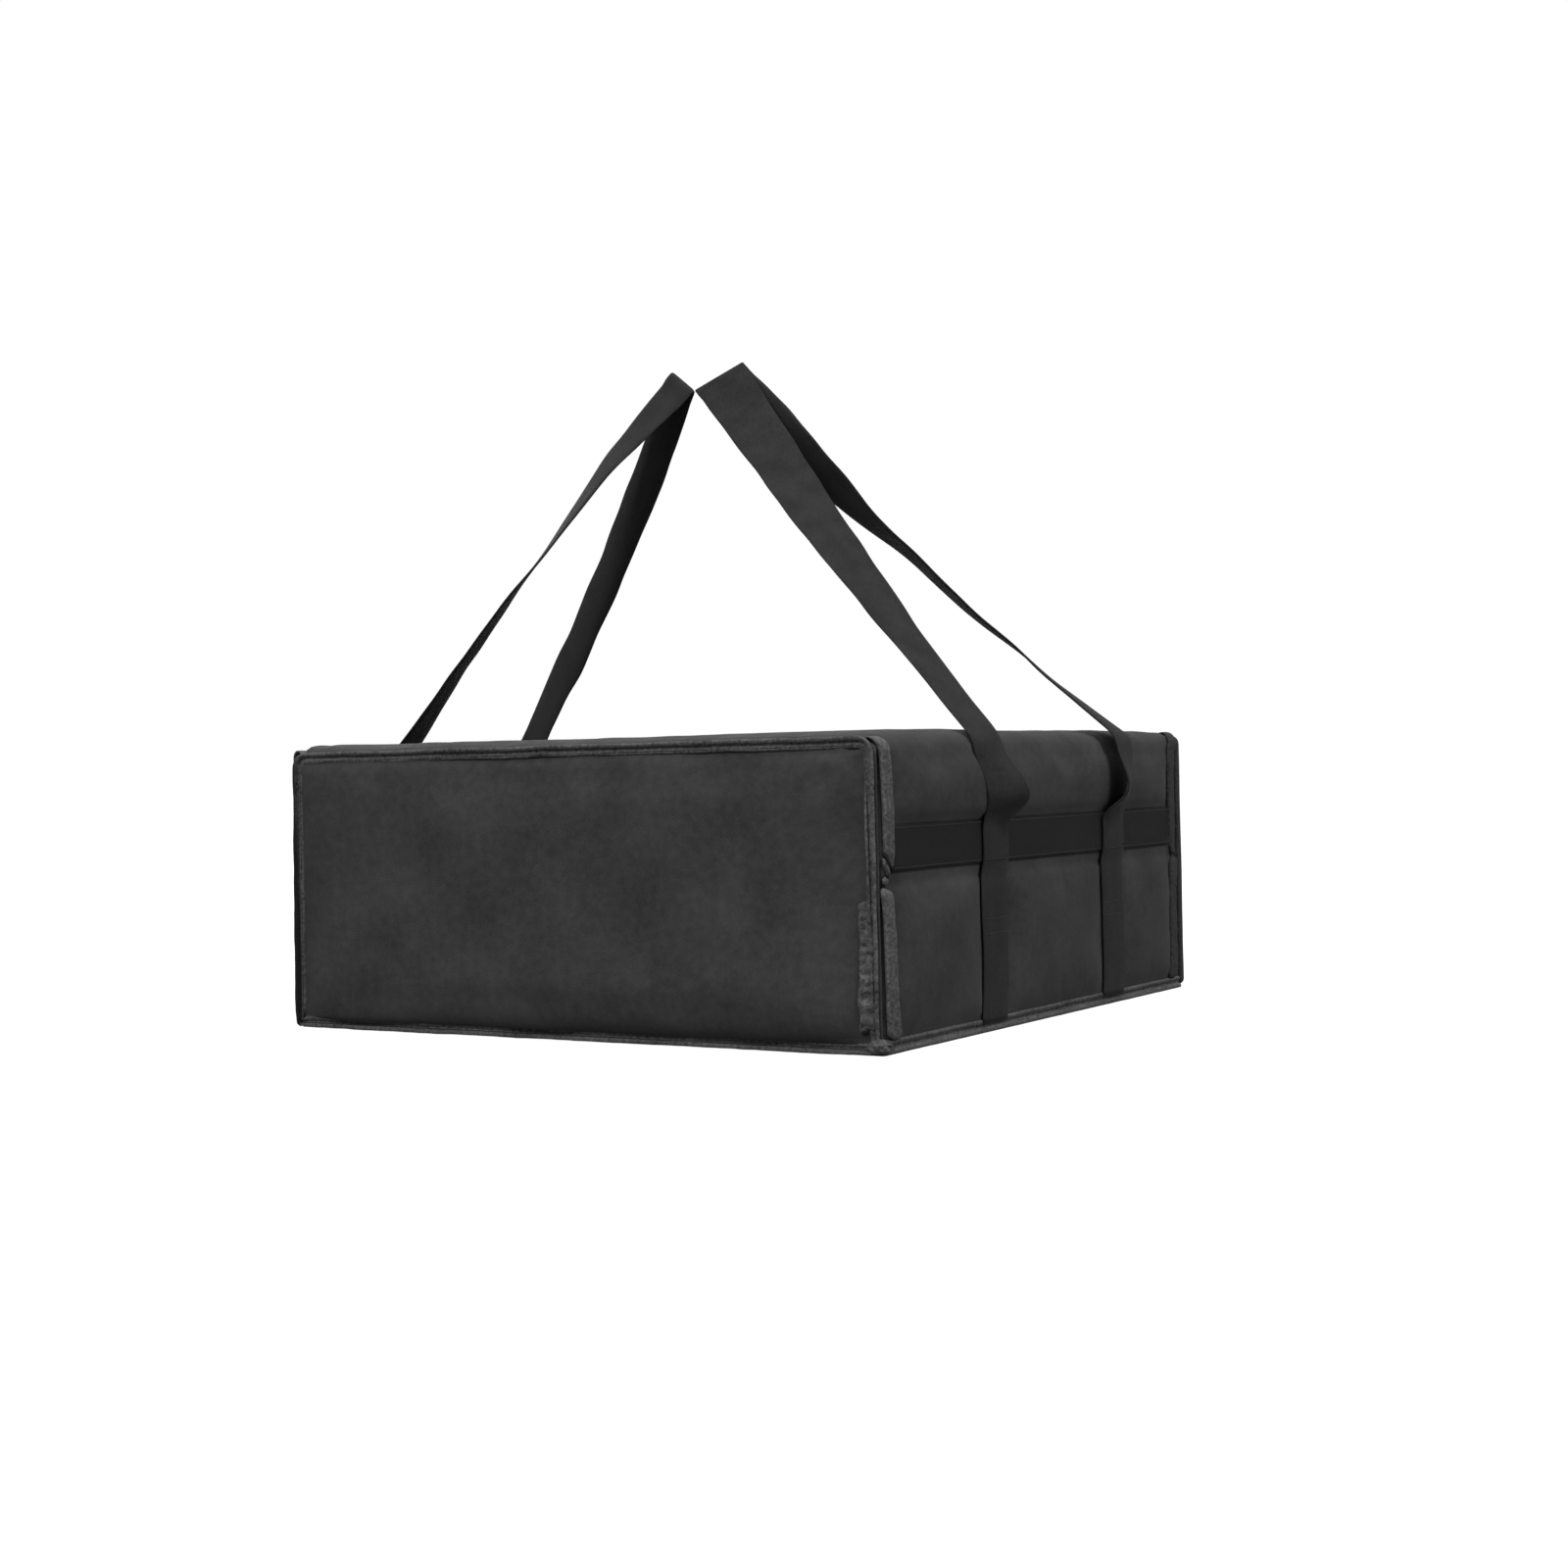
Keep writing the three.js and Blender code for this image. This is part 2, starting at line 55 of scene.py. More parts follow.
# Sizes that the frame gives
wrapLow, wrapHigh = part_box("wrap_cover")
halfWidth = wrapHigh.x
topHeight = wrapHigh.z
bodyRear = wrapLow.y
wallFoot = wrapLow.z
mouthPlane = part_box("lip_cover")[1].y
creaseHeight = (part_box("right_foam_lower")[1].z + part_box("right_foam_upper")[0].z) / 2
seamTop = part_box("right_seam_binding")[1].z
bandLow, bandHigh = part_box("right_band")

# Rounded corners, and how far the padding fills the top ones at the mouth and beside the left end
corners = {
    "top": 12 * mm,
    "foot": 4 * mm,
    "flapTop": 6 * mm,
    "mouthFill": 3.6 * mm,
    "leftFill": 4.2 * mm,
    "leftPlace": 14 * mm,
    "fillReach": 30 * mm,
}
fabricThickness = 1.2 * mm
walls = (("right", 1), ("left", -1))

# Where the straps run up a handle wall, and how wide the sewn edges are
wallLayout = {
    "rearStrap": -88 * mm,
    "frontStrap": 110 * mm,
    "strapHalf": 19 * mm,
    "bindingWidth": 16 * mm,
    "creaseDip": 1.4 * mm,
    "creaseReach": 3.2 * mm,
    "creaseEdge": 10 * mm,
}


def makeCamera():
    view = {
        "place": (0.9957, -1.5486, 0.1845),
        "azimuth": 32.04,
        "pitch": 0.36,
        "roll": -1.35,
        "lens": 54.1,
        "sensor": 36,
    }
    turn, tip, roll = (math.radians(view[key]) for key in ("azimuth", "pitch", "roll"))
    ahead = Vector((-math.sin(turn) * math.cos(tip), math.cos(turn) * math.cos(tip), -math.sin(tip)))
    right = Vector((math.cos(turn), math.sin(turn), 0))
    up = right.cross(ahead)
    rolledRight = right * math.cos(roll) + up * math.sin(roll)
    rolledUp = up * math.cos(roll) - right * math.sin(roll)
    data = bpy.data.cameras.new("photoCamera")
    data.lens = view["lens"]
    data.sensor_width = view["sensor"]
    camera = bpy.data.objects.new("photoCamera", data)
    axes = Matrix((rolledRight, rolledUp, -ahead)).transposed()
    camera.matrix_world = Matrix.Translation(view["place"]) @ axes.to_4x4()
    scene.collection.objects.link(camera)
    scene.camera = camera


def newLook(name, roughness, metallic=0, sheen=0, specular=0.5):
    look = bpy.data.materials.new(name)
    look.use_nodes = True
    nodes, links = look.node_tree.nodes, look.node_tree.links
    shader = nodes["Principled BSDF"]
    shader.inputs["Roughness"].default_value = roughness
    shader.inputs["Metallic"].default_value = metallic
    shader.inputs["Sheen Weight"].default_value = sheen
    shader.inputs["Sheen Roughness"].default_value = 0.45
    shader.inputs["Specular IOR Level"].default_value = specular
    return look, nodes, links, shader


def coordinate(nodes, output):
    return nodes.new("ShaderNodeTexCoord").outputs[output]


def turned(nodes, links, source, scale, angle=0):
    mapping = nodes.new("ShaderNodeMapping")
    mapping.inputs["Scale"].default_value = scale
    mapping.inputs["Rotation"].default_value = (0, 0, angle)
    links.new(source, mapping.inputs["Vector"])
    return mapping.outputs["Vector"]


def noiseFrom(nodes, links, source, scale, detail=3, roughness=0.55):
    cloud = nodes.new("ShaderNodeTexNoise")
    cloud.inputs["Scale"].default_value = scale
    cloud.inputs["Detail"].default_value = detail
    cloud.inputs["Roughness"].default_value = roughness
    links.new(source, cloud.inputs["Vector"])
    return cloud.outputs["Fac"]


def ramp(nodes, links, source, low, high, fromValue=0, toValue=1):
    spread = nodes.new("ShaderNodeMapRange")
    spread.inputs["From Min"].default_value = low
    spread.inputs["From Max"].default_value = high
    spread.inputs["To Min"].default_value = fromValue
    spread.inputs["To Max"].default_value = toValue
    links.new(source, spread.inputs["Value"])
    return spread.outputs["Result"]


def maths(nodes, links, operation, first, second):
    node = nodes.new("ShaderNodeMath")
    node.operation = operation
    for socket, value in zip(node.inputs, (first, second)):
        if isinstance(value, (int, float)):
            socket.default_value = value
        else:
            links.new(value, socket)
    return node.outputs["Value"]


def weighted(nodes, links, parts):
    total = 0
    for source, weight in parts:
        total = maths(nodes, links, "ADD", maths(nodes, links, "MULTIPLY", source, weight), total)
    return total


def grey(value):
    return (value,) * 3


def mixColour(nodes, links, factor, dark, light):
    mix = nodes.new("ShaderNodeMix")
    mix.data_type = "RGBA"
    mix.inputs[6].default_value = (*dark, 1)
    mix.inputs[7].default_value = (*light, 1)
    links.new(factor, mix.inputs[0])
    return mix.outputs[2]


def bump(nodes, links, shader, height, distance, strength=1):
    bumpNode = nodes.new("ShaderNodeBump")
    bumpNode.inputs["Strength"].default_value = strength
    bumpNode.inputs["Distance"].default_value = distance
    links.new(height, bumpNode.inputs["Height"])
    before = shader.inputs["Normal"].links
    if before:
        links.new(before[0].from_socket, bumpNode.inputs["Normal"])
    links.new(bumpNode.outputs["Normal"], shader.inputs["Normal"])


# Spunbonded fabric: pressed dots in rows, loose fibres, and a cloudy tone from uneven bonding.
# Where an end is given for painted shade, as two places from left to right, the tone goes from dark to its
# full tone between them
def nonWovenLook(name, tones, crumple, mottle, paintedShadeEnd=None):
    scales = {"clouds": 16, "fibres": 900, "dots": 620}
    fibreShare = 0.25
    look, nodes, links, shader = newLook(name, 0.78, sheen=0.006, specular=0.04)
    cloth = coordinate(nodes, "UV")
    clouds = noiseFrom(nodes, links, cloth, scales["clouds"], 4)
    blots = noiseFrom(nodes, links, cloth, mottle["scale"], 3)
    drawn = turned(nodes, links, cloth, (1.6, 0.7, 1), 0.5)
    fibres = noiseFrom(nodes, links, drawn, scales["fibres"], 2, 0.7)
    weights = ((clouds, 1 - fibreShare - mottle["share"]), (blots, mottle["share"]), (fibres, fibreShare))
    tone = ramp(nodes, links, weighted(nodes, links, weights), 0.36, 0.64)
    # Painted shade: the tone is multiplied down to black towards the given end
    if paintedShadeEnd:
        place = nodes.new("ShaderNodeSeparateXYZ")
        links.new(coordinate(nodes, "Object"), place.inputs[0])
        tone = maths(nodes, links, "MULTIPLY", tone, ramp(nodes, links, place.outputs["X"], *paintedShadeEnd))
    links.new(mixColour(nodes, links, tone, *tones), shader.inputs["Base Color"])
    links.new(ramp(nodes, links, blots, 0.3, 0.7, 0.7, 0.86), shader.inputs["Roughness"])
    dots = nodes.new("ShaderNodeTexVoronoi")
    dots.inputs["Scale"].default_value = scales["dots"]
    dots.inputs["Randomness"].default_value = 0.12
    links.new(turned(nodes, links, cloth, (1, 1, 1), math.radians(45)), dots.inputs["Vector"])
    pressed = ramp(nodes, links, dots.outputs["Distance"], 0.16, 0.34)
    bump(nodes, links, shader, pressed, 0.12 * mm, 0.7)
    bump(nodes, links, shader, fibres, 0.16 * mm, 0.6)
    bump(nodes, links, shader, noiseFrom(nodes, links, cloth, crumple["scale"], 5, 0.6), crumple["depth"])
    return look


# Flat carrying tape: a fine plain weave
def webbingLook(name, tones):
    look, nodes, links, shader = newLook(name, 0.72, sheen=0.006, specular=0.032)
    cloth = coordinate(nodes, "UV")
    weave = nodes.new("ShaderNodeTexBrick")
    weave.inputs["Scale"].default_value = 1
    weave.inputs["Mortar Size"].default_value = 0.12 * mm
    weave.inputs["Mortar Smooth"].default_value = 0.6
    weave.inputs["Brick Width"].default_value = 1.5 * mm
    weave.inputs["Row Height"].default_value = 0.9 * mm
    links.new(cloth, weave.inputs["Vector"])
    clouds = noiseFrom(nodes, links, cloth, 45, 4)
    yarn = noiseFrom(nodes, links, turned(nodes, links, cloth, (1, 0.25, 1)), 1100, 2)
    tone = ramp(nodes, links, weighted(nodes, links, ((clouds, 0.6), (yarn, 0.4))), 0.36, 0.64)
    links.new(mixColour(nodes, links, tone, *tones), shader.inputs["Base Color"])
    links.new(ramp(nodes, links, clouds, 0.3, 0.7, 0.66, 0.8), shader.inputs["Roughness"])
    bump(nodes, links, shader, ramp(nodes, links, weave.outputs["Fac"], 0, 1, 1, 0), 0.16 * mm, 0.8)
    bump(nodes, links, shader, yarn, 0.1 * mm, 0.6)
    return look


# Foil film: sharp creases over broad soft dents, painted shade along the creases, brightness and gloss
# uneven
def foilLook():
    dark, light = (0.13, 0.135, 0.145), (0.55, 0.555, 0.57)
    creaseSizes = ((26, 0.7 * mm), (70, 0.3 * mm))
    look, nodes, links, shader = newLook("foilFilm", 0.34, metallic=1)
    cloth = coordinate(nodes, "UV")
    tone = noiseFrom(nodes, links, cloth, 9, 3)
    for scale, depth in creaseSizes:
        folded = maths(nodes, links, "SUBTRACT", noiseFrom(nodes, links, cloth, scale, 2, 0.4), 0.5)
        crease = ramp(nodes, links, maths(nodes, links, "ABSOLUTE", folded, 0), 0, 0.09)
        bump(nodes, links, shader, crease, depth, 0.5)
        # Painted shade: the colour goes darker along each crease line
        tone = weighted(nodes, links, ((tone, 0.6), (crease, 0.4)))
    fine = noiseFrom(nodes, links, cloth, 260, 4)
    broad = noiseFrom(nodes, links, cloth, 30, 3)
    links.new(mixColour(nodes, links, tone, dark, light), shader.inputs["Base Color"])
    links.new(ramp(nodes, links, fine, 0.3, 0.7, 0.3, 0.46), shader.inputs["Roughness"])
    bump(nodes, links, shader, fine, 0.15 * mm, 0.6)
    bump(nodes, links, shader, broad, 2 * mm, 0.6)
    return look


# Closed-cell foam: skinned bubbles of about two millimetres
def foamLook():
    dark, light = (0.72, 0.72, 0.7), (0.84, 0.84, 0.82)
    look, nodes, links, shader = newLook("foamSheet", 0.8)
    spot = coordinate(nodes, "Object")
    cells = nodes.new("ShaderNodeTexVoronoi")
    cells.inputs["Scale"].default_value = 480
    links.new(spot, cells.inputs["Vector"])
    clouds = noiseFrom(nodes, links, spot, 60, 3)
    links.new(mixColour(nodes, links, clouds, dark, light), shader.inputs["Base Color"])
    links.new(ramp(nodes, links, clouds, 0.3, 0.7, 0.72, 0.88), shader.inputs["Roughness"])
    bump(nodes, links, shader, cells.outputs["Distance"], 0.4 * mm, 0.6)
    return look


# Fluted plastic sheet: flutes about every four millimetres that show faintly through its skin
def flutedLook():
    dark, light = (0.022, 0.022, 0.024), (0.04, 0.04, 0.043)
    fluteScale = 250 / math.pi
    look, nodes, links, shader = newLook("flutedSheet", 0.5)
    spot = coordinate(nodes, "Object")
    flutes = nodes.new("ShaderNodeTexWave")
    flutes.bands_direction = "X"
    flutes.inputs["Scale"].default_value = fluteScale
    links.new(spot, flutes.inputs["Vector"])
    scuffs = noiseFrom(nodes, links, spot, 90, 4)
    links.new(mixColour(nodes, links, scuffs, dark, light), shader.inputs["Base Color"])
    links.new(ramp(nodes, links, scuffs, 0.3, 0.7, 0.42, 0.6), shader.inputs["Roughness"])
    bump(nodes, links, shader, flutes.outputs["Fac"], 0.15 * mm, 0.7)
    return look


# Hook or loop tape: a dense pile of tiny points, coarser and looser for loops
def pileLook(name, scale, depth, tones):
    look, nodes, links, shader = newLook(name, 0.95, sheen=0.1, specular=0.2)
    cloth = coordinate(nodes, "UV")
    pile = nodes.new("ShaderNodeTexVoronoi")
    pile.inputs["Scale"].default_value = scale
    links.new(cloth, pile.inputs["Vector"])
    tangle = noiseFrom(nodes, links, cloth, scale * 0.6, 3)
    links.new(mixColour(nodes, links, tangle, *tones), shader.inputs["Base Color"])
    links.new(ramp(nodes, links, tangle, 0.3, 0.7, 0.88, 1), shader.inputs["Roughness"])
    bump(nodes, links, shader, pile.outputs["Distance"], depth, 0.9)
    return look


# Sewing thread: two plies with a slight polish
def threadLook():
    look, nodes, links, shader = newLook("sewingThread", 0.7, specular=0.15)
    spot = coordinate(nodes, "Object")
    plies = noiseFrom(nodes, links, spot, 1500, 2)
    links.new(mixColour(nodes, links, plies, grey(0.008), grey(0.02)), shader.inputs["Base Color"])
    bump(nodes, links, shader, plies, 0.1 * mm, 0.6)
    return look


# Linear tones from dark to light, crumples, and how much of the tone is blotched
def makeLooks():
    coverTones = grey(0.017), grey(0.038)
    bindingTones = grey(0.009), grey(0.098)
    # The bindings at the front, the mouth and the flap take a darker copy of the binding tape: painted
    # shade for the tape that the light doesn't catch
    shadedFrontTones = grey(0.01), grey(0.034)
    coverCrumple = {"scale": 45, "depth": 0.6 * mm}
    tapeCrumple = {"scale": 220, "depth": 1.2 * mm}
    coverMottle = {"scale": 150, "share": 0.3}
    bindingMottle = {"scale": 330, "share": 0.42}
    mouthMottle = {"scale": 330, "share": 0.55}
    # The end tape's outermost few millimetres at its left end are painted into shade, where the seam turns
    # away from the light
    shadedOuterEdge = (-halfWidth + 1 * mm, -halfWidth + 4 * mm)
    return {
        "cover": nonWovenLook("coverFabric", coverTones, coverCrumple, coverMottle),
        "binding": nonWovenLook("bindingTape", bindingTones, tapeCrumple, bindingMottle),
        "endTapeShadedEdge": nonWovenLook("endTapeShadedEdge", bindingTones, tapeCrumple, bindingMottle, paintedShadeEnd=shadedOuterEdge),
        "shadedFrontTape": nonWovenLook("shadedFrontTape", shadedFrontTones, tapeCrumple, mouthMottle),
        "strap": webbingLook("strapWebbing", (grey(0.0115), grey(0.022))),
        "band": webbingLook("bandWebbing", (grey(0.0073), grey(0.0114))),
        "foil": foilLook(),
        "foam": foamLook(),
        "fluted": flutedLook(),
        "hook": pileLook("hookTape", 1100, 0.3 * mm, (grey(0.01), grey(0.022))),
        "loop": pileLook("loopTape", 700, 0.4 * mm, (grey(0.012), grey(0.028))),
        "thread": threadLook(),
    }


# 1 for the rays that should see the white paper: the camera's own and those that metal mirrors
def whiteRays(nodes, links):
    outputs = nodes.new("ShaderNodeLightPath").outputs
    mirrored = maths(nodes, links, "MAXIMUM", outputs["Is Glossy Ray"], outputs["Is Transmission Ray"])
    return maths(nodes, links, "MAXIMUM", outputs["Is Camera Ray"], mirrored)


# White floor that a camera sees as white paper but that still takes the shadow, and a white room
def makeStage():
    stage = {
        "floorSize": 80,
        "floorTone": 0.16,
        "grain": 0.01,
        "floorLift": 0.86,
        "farLift": 1,
        "liftFrom": 0.8,
        "liftTo": 2.5,
        "roomLight": 0.12,
    }
    floorMesh = bmesh.new()
    bmesh.ops.create_grid(floorMesh, x_segments=1, y_segments=1, size=stage["floorSize"] / 2)
    data = bpy.data.meshes.new("floor")
    floorMesh.to_mesh(data)
    floorMesh.free()
    floor = bpy.data.objects.new("floor", data)
    scene.collection.objects.link(floor)
    look, nodes, links, shader = newLook("paperFloor", 0.9)
    grain = noiseFrom(nodes, links, coordinate(nodes, "Object"), 4, 2)
    dark, light = grey(stage["floorTone"]), grey(stage["floorTone"] + stage["grain"])
    links.new(mixColour(nodes, links, grain, dark, light), shader.inputs["Base Color"])
    glow = nodes.new("ShaderNodeEmission")
    away = nodes.new("ShaderNodeVectorMath")
    away.operation = "LENGTH"
    links.new(coordinate(nodes, "Object"), away.inputs[0])
    lift = ramp(nodes, links, away.outputs["Value"], stage["liftFrom"], stage["liftTo"],
                stage["floorLift"], stage["farLift"])
    links.new(maths(nodes, links, "MULTIPLY", whiteRays(nodes, links), lift), glow.inputs["Strength"])
    both = nodes.new("ShaderNodeAddShader")
    links.new(shader.outputs["BSDF"], both.inputs[0])
    links.new(glow.outputs["Emission"], both.inputs[1])
    links.new(both.outputs["Shader"], nodes["Material Output"].inputs["Surface"])
    data.materials.append(look)
    world = bpy.data.worlds.new("room")
    scene.world = world
    world.use_nodes = True
    nodes, links = world.node_tree.nodes, world.node_tree.links
    strength = ramp(nodes, links, whiteRays(nodes, links), 0, 1, stage["roomLight"], 1)
    links.new(strength, nodes["Background"].inputs["Strength"])
    nodes["Background"].inputs["Color"].default_value = (1, 1, 1, 1)


def makeLamps():
    lamps = [
        {"name": "frontLamp", "place": (0.2, -3.0, 2.4), "size": 1.6, "power": 142},
        {"name": "sideLamp", "place": (2.7, -0.2, 3.2), "size": 1.4, "power": 165},
        {"name": "topLamp", "place": (0.5, -0.5, 3.4), "size": 3.4, "power": 55},
        {"name": "backLamp", "place": (-2.6, 2.8, 2.0), "size": 3.2, "power": 62},
    ]
    aim = Vector((0, 0, 0.2))
    for lamp in lamps:
        data = bpy.data.lights.new(lamp["name"], "AREA")
        data.shape = "DISK"
        data.size = lamp["size"]
        data.energy = lamp["power"]
        light = bpy.data.objects.new(lamp["name"], data)
        place = Vector(lamp["place"])
        turn = (aim - place).to_track_quat("-Z", "Y").to_matrix().to_4x4()
        light.matrix_world = Matrix.Translation(place) @ turn
        scene.collection.objects.link(light)


# Cuts every stretch between two marks into equal steps
def spread(marks, step):
    stops = [marks[0]]
    for low, high in zip(marks, marks[1:]):
        count = max(1, round((high - low) / step))
        stops += [low + (high - low) * k / count for k in range(1, count + 1)]
    return stops


def wave(point, length, seed):
    return noise.noise(Vector(point) / length + Vector((seed * 3.1, seed * 1.7, seed * 0.9)))


# Waves laid over each other, each given by its height, length and seed
def ripple(point, *parts):
    return sum(height * wave(point, length, seed) for height, length, seed in parts)


def near(value, middle, reach):
    return math.exp(-((value - middle) / reach) ** 2)


def lengthsAlong(points):
    total = [0]
    for before, after in zip(points, points[1:]):
        total.append(total[-1] + (after - before).length)
    return total


# A sheet of cloth: a grid whose rows and columns stand at the stops, laid out flat in its UV map
def gridSheet(uStops, vStops, place):
    sheet = bmesh.new()
    across, along = len(uStops) - 1, len(vStops) - 1
    bmesh.ops.create_grid(sheet, x_segments=across, y_segments=along, size=1)
    uvLayer = sheet.loops.layers.uv.new("cloth")
    spots = {}
    for vert in sheet.verts:
        u = uStops[round((vert.co.x + 1) / 2 * across)]
        v = vStops[round((vert.co.y + 1) / 2 * along)]
        spots[vert] = (u, v)
    for face in sheet.faces:
        for loop in face.loops:
            loop[uvLayer].uv = spots[loop.vert]
    for vert, (u, v) in spots.items():
        vert.co = place(u, v)
    return sheet


# A closed profile drawn along sections of (middle, across, out), as a ring or with closed ends
def sweep(sections, profile, ring=False):
    band = bmesh.new()
    girth = profile + profile[:1]
    rows = sections + sections[:1] if ring else sections
    bmesh.ops.create_grid(band, x_segments=len(girth) - 1, y_segments=len(rows) - 1, size=1)
    uvLayer = band.loops.layers.uv.new("cloth")
    uStops = lengthsAlong([Vector((a, h)) for a, h in girth])
    vStops = lengthsAlong([row[0] for row in rows])
    spots = {}
    for vert in band.verts:
        i = round((vert.co.x + 1) / 2 * (len(girth) - 1))
        j = round((vert.co.y + 1) / 2 * (len(rows) - 1))
        spots[vert] = (i, j)
    for face in band.faces:
        for loop in face.loops:
            i, j = spots[loop.vert]
            loop[uvLayer].uv = (uStops[i], vStops[j])
    for vert, (i, j) in spots.items():
        middle, across, out = rows[j]
        vert.co = middle + across * girth[i][0] + out * girth[i][1]
    bmesh.ops.remove_doubles(band, verts=band.verts[:], dist=0.001 * mm)
    if not ring:
        ends = [edge for edge in band.edges if edge.is_boundary]
        bmesh.ops.holes_fill(band, edges=ends)
    bmesh.ops.recalc_face_normals(band, faces=band.faces[:])
    return band


def joinInto(target, source):
    data = bpy.data.meshes.new("join")
    source.to_mesh(data)
    source.free()
    target.from_mesh(data)
    bpy.data.meshes.remove(data)


def newPiece(name, mesh, look):
    data = bpy.data.meshes.new(name)
    mesh.to_mesh(data)
    mesh.free()
    data.polygons.foreach_set("use_smooth", [True] * len(data.polygons))
    data.materials.append(look)
    piece = bpy.data.objects.new(name, data)
    scene.collection.objects.link(piece)
    return piece


# Gives a sheet its thickness inwards
def thicken(piece, thickness):
    wall = piece.modifiers.new("thickness", "SOLIDIFY")
    wall.thickness = thickness
    wall.offset = -1


# Writes a piece's modifiers into its mesh
def fixShape(piece):
    shaped = bpy.data.meshes.new_from_object(piece.evaluated_get(bpy.context.evaluated_depsgraph_get()))
    piece.modifiers.clear()
    piece.data = shaped


# Sewn down where the weight is 1, the sheet fills out a little over its foam
def puffSheet(piece, sewn, puff):
    rest = [vert.co.copy() for vert in piece.data.vertices]
    normals = [vert.normal.copy() for vert in piece.data.vertices]
    group = piece.vertex_groups.new(name="sewn")
    for vert in piece.data.vertices:
        group.add([vert.index], sewn(vert.co), "REPLACE")
    cloth = piece.modifiers.new("settle", "CLOTH")
    settings = cloth.settings
    settings.vertex_group_mass = "sewn"
    settings.quality = 5
    settings.mass = 0.2
    settings.tension_stiffness = 15
    settings.compression_stiffness = 15
    settings.shear_stiffness = 8
    settings.bending_stiffness = puff["bending"]
    settings.use_pressure = True
    settings.uniform_pressure_force = puff["pressure"]
    settings.shrink_min = -puff["fullness"]
    settings.effector_weights.gravity = 0
    cloth.point_cache.frame_end = puff["frames"]
    for step in range(1, puff["frames"] + 1):
        scene.frame_set(step)
    settled = piece.evaluated_get(bpy.context.evaluated_depsgraph_get()).data
    moves = [settled.vertices[k].co - rest[k] for k in range(len(rest))]
    piece.modifiers.remove(cloth)
    piece.vertex_groups.remove(group)
    scene.frame_set(1)
    cap = puff["cap"]
    for vert, start, normal, move in zip(piece.data.vertices, rest, normals, moves):
        move -= normal * min(move.dot(normal), 0)
        size = move.length
        vert.co = start + (move * (cap * math.tanh(size / cap) / size) if size > 0 else move)
    widest = max(move.length for move in moves)
    print(f"{piece.name} filled out by {widest / mm:.1f} mm before its limit of {cap / mm:.1f} mm")


# Moves each point along its normal by the height that the function gives
def raiseBy(piece, height):
    normals = [vert.normal.copy() for vert in piece.data.vertices]
    for vert, normal in zip(piece.data.vertices, normals):
        vert.co += normal * height(vert.co)


def settle(piece, body, nodes, slot):
    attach(piece, body)
    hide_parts(*nodes)


# The arch of the outer fabric, from the foot of the right wall over the top to the left foot
wallRise = topHeight - corners["top"] - wallFoot
cornerRun = corners["top"] * math.pi / 2
topRun = 2 * (halfWidth - corners["top"])
archRun = 2 * (wallRise + cornerRun) + topRun


def archPoint(run, half=halfWidth, top=topHeight, radius=corners["top"]):
    side = 1 if run <= archRun / 2 else -1
    run = min(run, archRun - run)
    if run <= wallRise:
        return side * half, wallFoot + run
    if run <= wallRise + cornerRun:
        angle = (run - wallRise) / corners["top"]
        return side * (half - radius + radius * math.cos(angle)), top - radius + radius * math.sin(angle)
    share = (run - wallRise - cornerRun) / (topRun / 2)
    return side * (half - radius) * (1 - share), top


def creaseDip(z):
    return wallLayout["creaseDip"] * near(z, creaseHeight, wallLayout["creaseReach"])


def onStrap(y, extra):
    offsets = (wallLayout["rearStrap"], wallLayout["frontStrap"])
    return any(abs(y - offset) <= wallLayout["strapHalf"] + extra for offset in offsets)


# Fades from 1 at an edge to nothing over a distance
def fading(distance, reach):
    return math.exp(-max(distance, 0) / reach)


# Rises from nothing over a distance from an edge
def risen(distance, reach):
    return 1 - fading(distance, reach)


# Rises to 1 over a distance and dies away past it
def hump(distance, peak):
    return distance / peak * math.exp(1 - distance / peak)


# Quarter circle from nothing at an edge to 1
def roundEdge(distance, radius):
    return math.sqrt(max(1 - (1 - min(distance / radius, 1)) ** 2, 0))


# Round-shouldered cushion between two edges: 0 on them, 1 over most of the middle
def cushion(value, low, high, power=6):
    if not low < value < high:
        return 0
    return 1 - abs(2 * (value - low) / (high - low) - 1) ** power


# How far the padding stands out on the wall and on the top, and the groove beside the end seam
wallSwell = {
    "upper": 7 * mm,
    "upperLean": 0.55,
    "lower": 3.4 * mm,
    "overFold": 4 * mm,
    "top": 1.8 * mm,
    "leftTop": 2 * mm,
    "leftReach": 60 * mm,
    "topRise": 5 * mm,
    "endRim": 4 * mm,
    "mouthRim": 9 * mm,
    "rimRise": 6 * mm,
    "groove": 4 * mm,
    "grooveWidth": 3.4 * mm,
    "topGrooveLoss": 0.3,
}


# How far a padded handle wall stands out over its boards
def wallBulge(y, z):
    binding = wallLayout["bindingWidth"]
    half = wallLayout["strapHalf"]
    ends = (bodyRear + binding, mouthPlane - binding)
    if z > bandHigh.z:
        share = (z - bandHigh.z) / (topHeight - bandHigh.z)
        arch = math.sin(math.pi * share ** wallSwell["upperLean"])
        return wallSwell["upper"] * arch * cushion(y, *ends, power=10)
    panelTop = creaseHeight + wallSwell["overFold"]
    if not seamTop < z < panelTop:
        return 0
    edges = (ends[0], wallLayout["rearStrap"] - half, wallLayout["rearStrap"] + half,
             wallLayout["frontStrap"] - half, wallLayout["frontStrap"] + half, ends[1])
    across = max(cushion(y, low, high, power=8) for low, high in zip(edges[::2], edges[1::2]))
    return wallSwell["lower"] * across * cushion(z, seamTop, panelTop, power=10)


